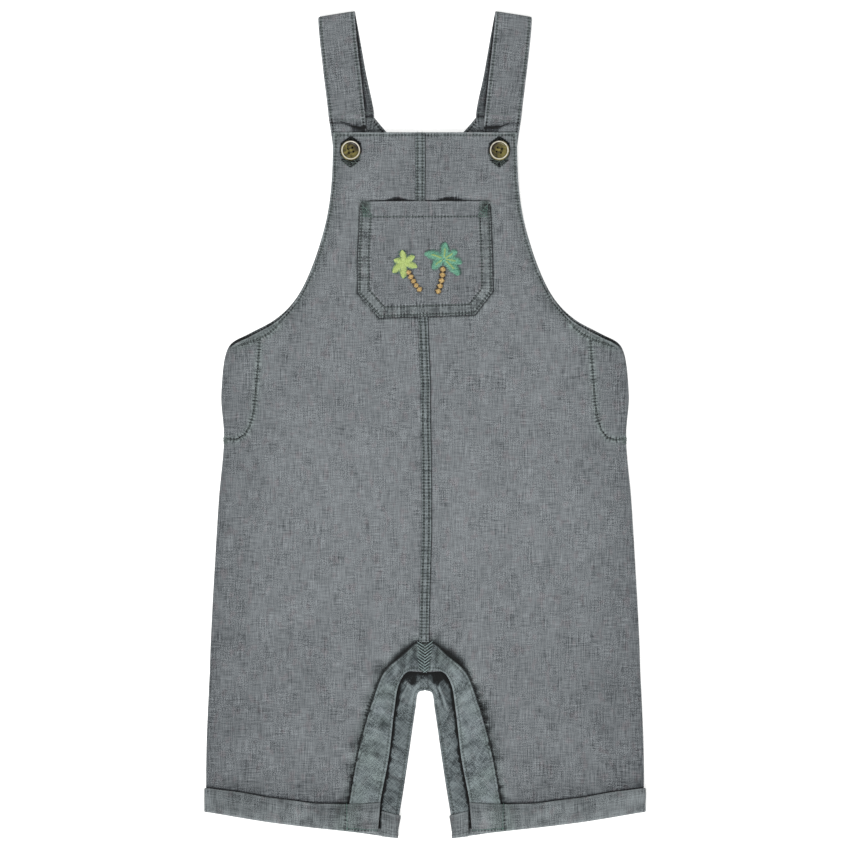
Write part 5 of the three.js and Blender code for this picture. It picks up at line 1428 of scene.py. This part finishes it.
def onSurface(points, tree, down=True, waver=0.12, seed=1, smooth=True, spacing=1.0):
    # a line of plan points laid on the cloth, with the small waver of a sewn line
    line = evenly(np.asarray(points, float)[:, :2], spacing, smooth)
    s = arcLength(line)
    runs = np.gradient(line, axis=0)
    runs /= np.maximum(np.linalg.norm(runs, axis=1, keepdims=True), 1e-9)
    line = line + np.stack([-runs[:, 1], runs[:, 0]], 1) * (waver * ripple(s, 22, seed))[:, None]
    z = filledIn(heightOn(tree, line[:, :1], line[:, 1:], down=down))[:, 0]
    z = np.convolve(np.pad(z, 1, mode="edge"), [0.25, 0.5, 0.25], mode="valid")
    return np.column_stack([line, z]), np.ones(len(line))


def inset(points, distance, smooth=True):  # a line moved to its left by a distance
    line = evenly(np.asarray(points, float)[:, :2], 1.0, smooth)
    runs = np.gradient(line, axis=0)
    runs /= np.maximum(np.linalg.norm(runs, axis=1, keepdims=True), 1e-9)
    return line + np.stack([-runs[:, 1], runs[:, 0]], 1) * distance


stitchLook = {"spacing": 2.25, "length": 1.7, "thickness": 0.42}
panels = upperTree(*[built[key] for key in built if key[0] in ("front", "frontBand") or key in ("seam",)])
bodyLines, bandLines, strapLines, cuffLines, pocketLines, backLines = [], [], [], [], [], []
zigzagLines, shadowTeethLines, ditchShadowLines = {1: [], -1: []}, [], []
for side in (1, -1):
    s = 200 + 20 * side
    armhole = sideOf(frontCut["armhole"], side)
    sewnHole = inset(armhole, -side * 1.9)[2:]
    bodyLines.append(onSurface(sewnHole[np.abs(sewnHole[:, 0]) < 105], panels, seed=s))
    bodyLines.append(onSurface([(side * 4, 202.1), (side * 62.3, 202.1)], panels, seed=s + 1, smooth=False))
    bodyLines.append(onSurface(sideOf(frontCut["scyeRow"], side), panels, seed=s + 2))
    bodyLines.append(onSurface(sideOf(frontCut["vent"][sideNames[side]], side), panels, seed=s + 3))
    seamRow = seamCut["rows"][0 if side < 0 else 1]
    bodyLines.append(onSurface([(drift + seamRow, y) for y, drift in seamCut["drift"]], panels, waver=0, seed=s + 5,
                               smooth=False))
    band = frontBandCut
    free = sideOf(band["free"], side)
    sewnEdge = sideOf(band["sewn"], side)
    bandLines.append(onSurface(inset(free[:-1], side * 1.8), panels, seed=s + 6))
    bandLines.append(onSurface(inset(sewnEdge[:-1], -side * 1.6), panels, seed=s + 7))
    # black stitches stand for painted shadow: a line in the ditch of the band's seam, and teeth between its puckers
    ditchShadowLines.append(onSurface(inset(sewnEdge[:-2], side * 0.5)[4:], panels, seed=s + 9))
    shadowTeethPath = inset(sewnEdge[:-1], side * 1.0)
    points, reach = onSurface(shadowTeethPath[34:-8], panels, seed=s + 8)
    shadowTeethLines.append((points, 0.25 + 0.85 * hill(points[:, 1] + 199, 14)))
    zigzagLines[side].append(onSurface([(side * 2.1, -154.2), (side * 2.1, -171.2)], panels, waver=0, smooth=False))
    backBand = backBandCut
    inside = upperTree(built["backBand", side], built["back", side])
    bandLines.append(onSurface(inset(sideOf(backBand["free"][:-1], side), side * 1.8)[1:], inside, seed=s + 10))
    stations = np.array(strapCut["stations"])
    frontRun, backRun = stations[6:], stations[1:6]
    for run, tree, isUnder in ((frontRun[:-1], upperTree(built["strap", side], built["front", side]), False),
                               (backRun, upperTree(built["strap", side]), True)):
        for share in (1.6 / 25.2, 1 - 1.6 / 25.2):
            x = run[:, 0] * (1 - share) + run[:, 2] * share
            y = run[:, 1] * (1 - share) + run[:, 3] * share
            if not isUnder:
                keep = y > 205
                x, y = x[keep], y[keep]
            target = backLines if isUnder else strapLines
            target.append(onSurface(np.column_stack([side * x, y]), tree, down=not isUnder, seed=s + 11))
    for dy in (0, -4.2):  # the strap's two rows on the back bib
        strapLines.append(onSurface([(side * 37.5, 218.0 + dy), (side * 60, 216.4 + dy)],
                                    upperTree(built["strap", side], built["back", side]), seed=s + 12, smooth=False))
    cuffTree = upperTree(built["cuff", side])
    cuffLines.append(onSurface([(side * 54.8, -266.3), (side * 54.2, -282.0)], cuffTree, seed=s + 13, smooth=False))
    cuffLines.append(onSurface([(side * 54.2, -282.3), (side * 34.5, -283.4)], cuffTree, seed=s + 14, smooth=False))
    # the hidden side: armholes, neck, the felled seat seam, side vents and the bands' rows
    under = upperTree(built["back", side], built["strap", side], built["cuff", side])
    back = backCut
    arm = sideOf(back["armhole"], side)
    for distance in (back["edgeStitch"], back["hemStitch"]):
        backLines.append(onSurface(inset(arm, -side * distance), under, down=False, seed=s + 15))
    backLines.append(onSurface(inset(sideOf(back["neckSeam"], side)[:-1], side * 1.9), under, down=False, seed=s + 16))
    backLines.append(onSurface([(side * 2.9, 187), (side * 2.9, -184)], under, down=False, seed=s + 17, smooth=False))
    backVent = [(x, y - 1.5) for x, y in sideOf(frontCut["vent"][sideNames[side]], side)]
    backLines.append(onSurface(backVent, under, down=False, seed=s + 18))
    for edgeLine, distance in ((backBand["sewn"], 1.6), (backBand["sewn"], 5.8), (backBand["free"], -1.8)):
        backLines.append(onSurface(inset(sideOf(edgeLine[1:-1], side), -side * distance), under, down=False, seed=s + 19))
    backLines.append(onSurface([(side * 54.8, -265.5), (side * 54.2, -281.5)], under, down=False, seed=s + 20, smooth=False))
pocketTree, cornerLines = upperTree(built["pocket"]), []
for d in (1.5, 7.6):
    corner = 0.42 * d
    ring = [(-45.4 + d, 155.2 - (0 if d < 5 else 9.5)), (-46.9 + d, 118.6), (-47 + d, 91.7 + corner),
            (-32 + corner, 74.2 + d), (35.1 - corner, 76.4 + d), (47.5 - d, 92.8 + corner), (47.1 - d, 119),
            (45.2 - d, 155.4 - (0 if d < 5 else 9.5))]
    pocketLines.append(onSurface(ring, pocketTree, seed=230 + int(d), smooth=False))
pocketLines.append(onSurface([(-37.8, 145.2), (37.6, 145.4)], pocketTree, seed=232, smooth=False))
for side in (1, -1):  # the corners' small triangles
    pocketLines.append(onSurface([(side * 44, 153.6), (side * 36.4, 144.6), (side * 44.2, 145.2)], pocketTree,
                                 seed=233 + side, smooth=False))
    for k in range(5):
        cornerLines.append(onSurface([(side * (37.6 + 1.35 * k), 145.6), (side * (37.9 + 1.35 * k), 147.2 + 1.35 * k)],
                                     pocketTree, waver=0, smooth=False, spacing=0.4))
sewing = (("topstitch_body", bodyLines, seamThread), ("topstitch_leg_bands", bandLines, seamThread),
          ("topstitch_straps", strapLines, seamThread), ("topstitch_turn_ups", cuffLines, mossThread),
          ("topstitch_pocket", pocketLines, seamThread), ("topstitch_back", backLines, seamThread))
for k, (name, lines, thread) in enumerate(sewing):
    isUnder, look = name == "topstitch_back", stitchLook
    sewn(name, lines, thread, look["spacing"], look["length"], look["thickness"], under=isUnder, seed=k + 1)
sewn("pocket_corner_tacks", cornerLines, mossThread, 1.5, 1.3, 0.42, turn=0.6, uneven=0.3, seed=13)

# Bartacks and buttonholes are worked in close satin stitches
tackLines, holeLines = [], []
for side in (1, -1):
    tack = onSurface([(side * 139.6, -9.2), (side * 139.3, -13.6)], panels, smooth=False)
    tackLines.append((tack[0], np.full(len(tack[0]), 1.0)))
    place = buttonPlace
    for lip in (-1, 1):
        dy = np.linspace(-10.7, 9.6, 44)
        reach = np.clip(np.minimum(1.15 * (11.1 + dy), 1.1 * (10.3 - dy)), 0.5, 6)
        x = side * place["x"] + lip * (0.5 + reach / 2)
        y = place["holeY"] + dy
        z = filledIn(heightOn(upperTree(built["front", side]), x[:, None], y[:, None]))[:, 0]
        holeLines.append((np.column_stack([x, y, z]), np.where(dy > 0, 0.3, 1.0) * reach))
sewn("bartacks", tackLines, seamThread, 0.5, 2.0, 0.45, turn=math.pi / 2, seed=11)
for side in (1, -1):  # the two halves of the crotch's zigzag meet in points
    sewn("crotch_zigzag_" + sideNames[side], zigzagLines[side], paleThread, 2.1, 4.6, 0.62, turn=-side * 0.95, seed=14)
# painted shadow laid as black stitches: teeth between the band's puckers and a line in its seam's ditch
sewn("leg_band_catch_stitches", shadowTeethLines, shadowThread, 2.2, 3.0, 0.8, turn=1.2, uneven=0.6, seed=15, lift=0.5)
sewn("leg_band_ditch_stitches", ditchShadowLines, shadowThread, 1.2, 1.5, 0.6, uneven=0.15, seed=16, lift=0.2)
sewn("buttonhole_stitching", holeLines, darkThread, 0.95, 1.0, 0.34, turn=math.pi / 2, uneven=0.5, seed=12)

# Two small palms on the pocket, drawn here: fronds and trunks worked in satin stitch
palms = {
    "lime": {"crown": (-14.6, 112.6), "fronds": [(150, 7.4, 2.9), (96, 9.0, 3.0), (40, 8.6, 2.9), (-8, 9.4, 3.1),
                                                 (208, 10.2, 3.2), (264, 10.4, 3.1)], "bend": -0.2},
    "green": {"crown": (13.2, 115.4), "fronds": [(152, 14.0, 3.9), (84, 11.4, 3.6), (38, 10.6, 3.3), (-2, 12.6, 3.6),
                                                 (-38, 15.2, 3.8), (206, 10.4, 3.8)], "bend": -0.22},
    "trunks": [[(-12.4, 107.6), (-9.8, 103.0), (-6.6, 98.0), (-2.8, 92.9)],
               [(12.6, 110.2), (12.2, 104.0), (10.8, 97.4), (8.6, 91.2)]],
    "trunkWidth": 2.4, "segments": 5, "spacing": 0.34, "thickness": 0.42,
}


def frondLine(crown, degrees, length, width, bend):
    t = np.linspace(0, 1, 24)
    turn = math.radians(degrees) + bend * t * np.cos(math.radians(degrees)) * 2
    step = length / len(t)
    x, y = crown[0] + np.cumsum(np.cos(turn)) * step, crown[1] + np.cumsum(np.sin(turn)) * step
    z = filledIn(heightOn(pocketTree, x[:, None], y[:, None]))[:, 0]
    reach = width * np.clip(0.30 + 1.1 * np.sin(np.pi * np.clip(t * 0.92 + 0.08, 0, 1)) ** 0.8, 0.25, 1.2) * 0.85
    return np.column_stack([x, y, z]), reach


underlay = []
for palm in ("lime", "green"):
    look = palms[palm]
    lines = [frondLine(look["crown"], *frond, look["bend"]) for frond in look["fronds"]]
    underlay += [(points, reach + 1.3) for points, reach in lines]
    sewn(palm + "_palm_fronds", lines, limeThread if palm == "lime" else greenThread, palms["spacing"], 1.0,
         palms["thickness"], turn=math.pi / 2 - 0.35, uneven=0.10, seed=21, lift=0.42)
veins = [(points[3:15] + (0, 0, 0.45), np.ones(12)) for points, _ in lines]
sewn("green_palm_veins", veins, limeThread, 0.8, 1.2, 0.36, turn=0.7, uneven=0.3, seed=23, lift=0.4)
trunkLines, ringLines, beddingLines = [], [], []
for trunk in palms["trunks"]:
    line = evenly(trunk, 0.3)
    s = arcLength(line) / arcLength(line)[-1]
    z = filledIn(heightOn(pocketTree, line[:, :1], line[:, 1:]))[:, 0]
    beads = np.abs(np.sin(np.pi * s * palms["segments"])) ** 0.9
    trunkLines.append((np.column_stack([line, z]), palms["trunkWidth"] * (0.05 + 0.95 * beads)))
    beddingLines.append((np.column_stack([line, z]), palms["trunkWidth"] * (0.95 + 0.4 * beads)))
    for share in np.arange(1, palms["segments"]) / palms["segments"]:
        k = int(share * (len(line) - 1))
        run = (line[k + 1] - line[k - 1]) / np.linalg.norm(line[k + 1] - line[k - 1])
        offsets = np.linspace(-0.5, 0.5, 5)[:, None] * palms["trunkWidth"] * 1.05
        ring = line[k] + offsets * np.array([-run[1], run[0]])
        ringLines.append((np.column_stack([ring, np.full(5, z[k] + 0.12)]), np.ones(5)))
# the underlay's dark rim round each frond is partly painted shadow round the raised satin
sewn("palm_frond_underlay", underlay, mossThread, 0.5, 1.0, 0.34, turn=math.pi / 2 - 0.35, uneven=0.2, seed=25, lift=0.3)
sewn("palm_trunk_underlay", beddingLines, brownThread, 0.5, 1.0, 0.34, turn=math.pi / 2, uneven=0.2, seed=26, lift=0.3)
sewn("palm_trunk_rings", ringLines, brownThread, 0.85, 1.0, 0.4, seed=24, lift=0.5)
sewn("palm_trunks", trunkLines, ochreThread, palms["spacing"], 1.0, palms["thickness"], turn=math.pi / 2, seed=22, lift=0.42)
print("embroidery made")

# Each piece hangs under one root and hides the CAD part it stands for. The table gives each kind that part, its cloth,
# whether it lies laid or folded and what it rides on; only the part is read here.
stands = {
    "back": ("back", "chambray", "laid", ["floor"]), "front": ("front", "chambray", "laid", ["back_half"]),
    "backBand": ("back_placket", "seam_chambray", "laid", ["back_half"]),
    "frontBand": ("front_placket", "seam_chambray", "laid", ["front_half"]),
    "strap": ("strap", "chambray", "folded", ["back_half"]), "cuff": ("cuff", "chambray", "folded", ["front_half"]),
}
for key, piece in built.items():
    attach(piece, "root")
    if isinstance(key, tuple) and key[0] in stands:
        node, slotName, held, rests = stands[key[0]]
        name = sideNames[key[1]]
        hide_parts(node + "_" + name)
    elif isinstance(key, tuple) and key[0] == "button":
        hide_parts("button_" + sideNames[key[1]])
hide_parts("centre_front_seam")
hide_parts("pocket")
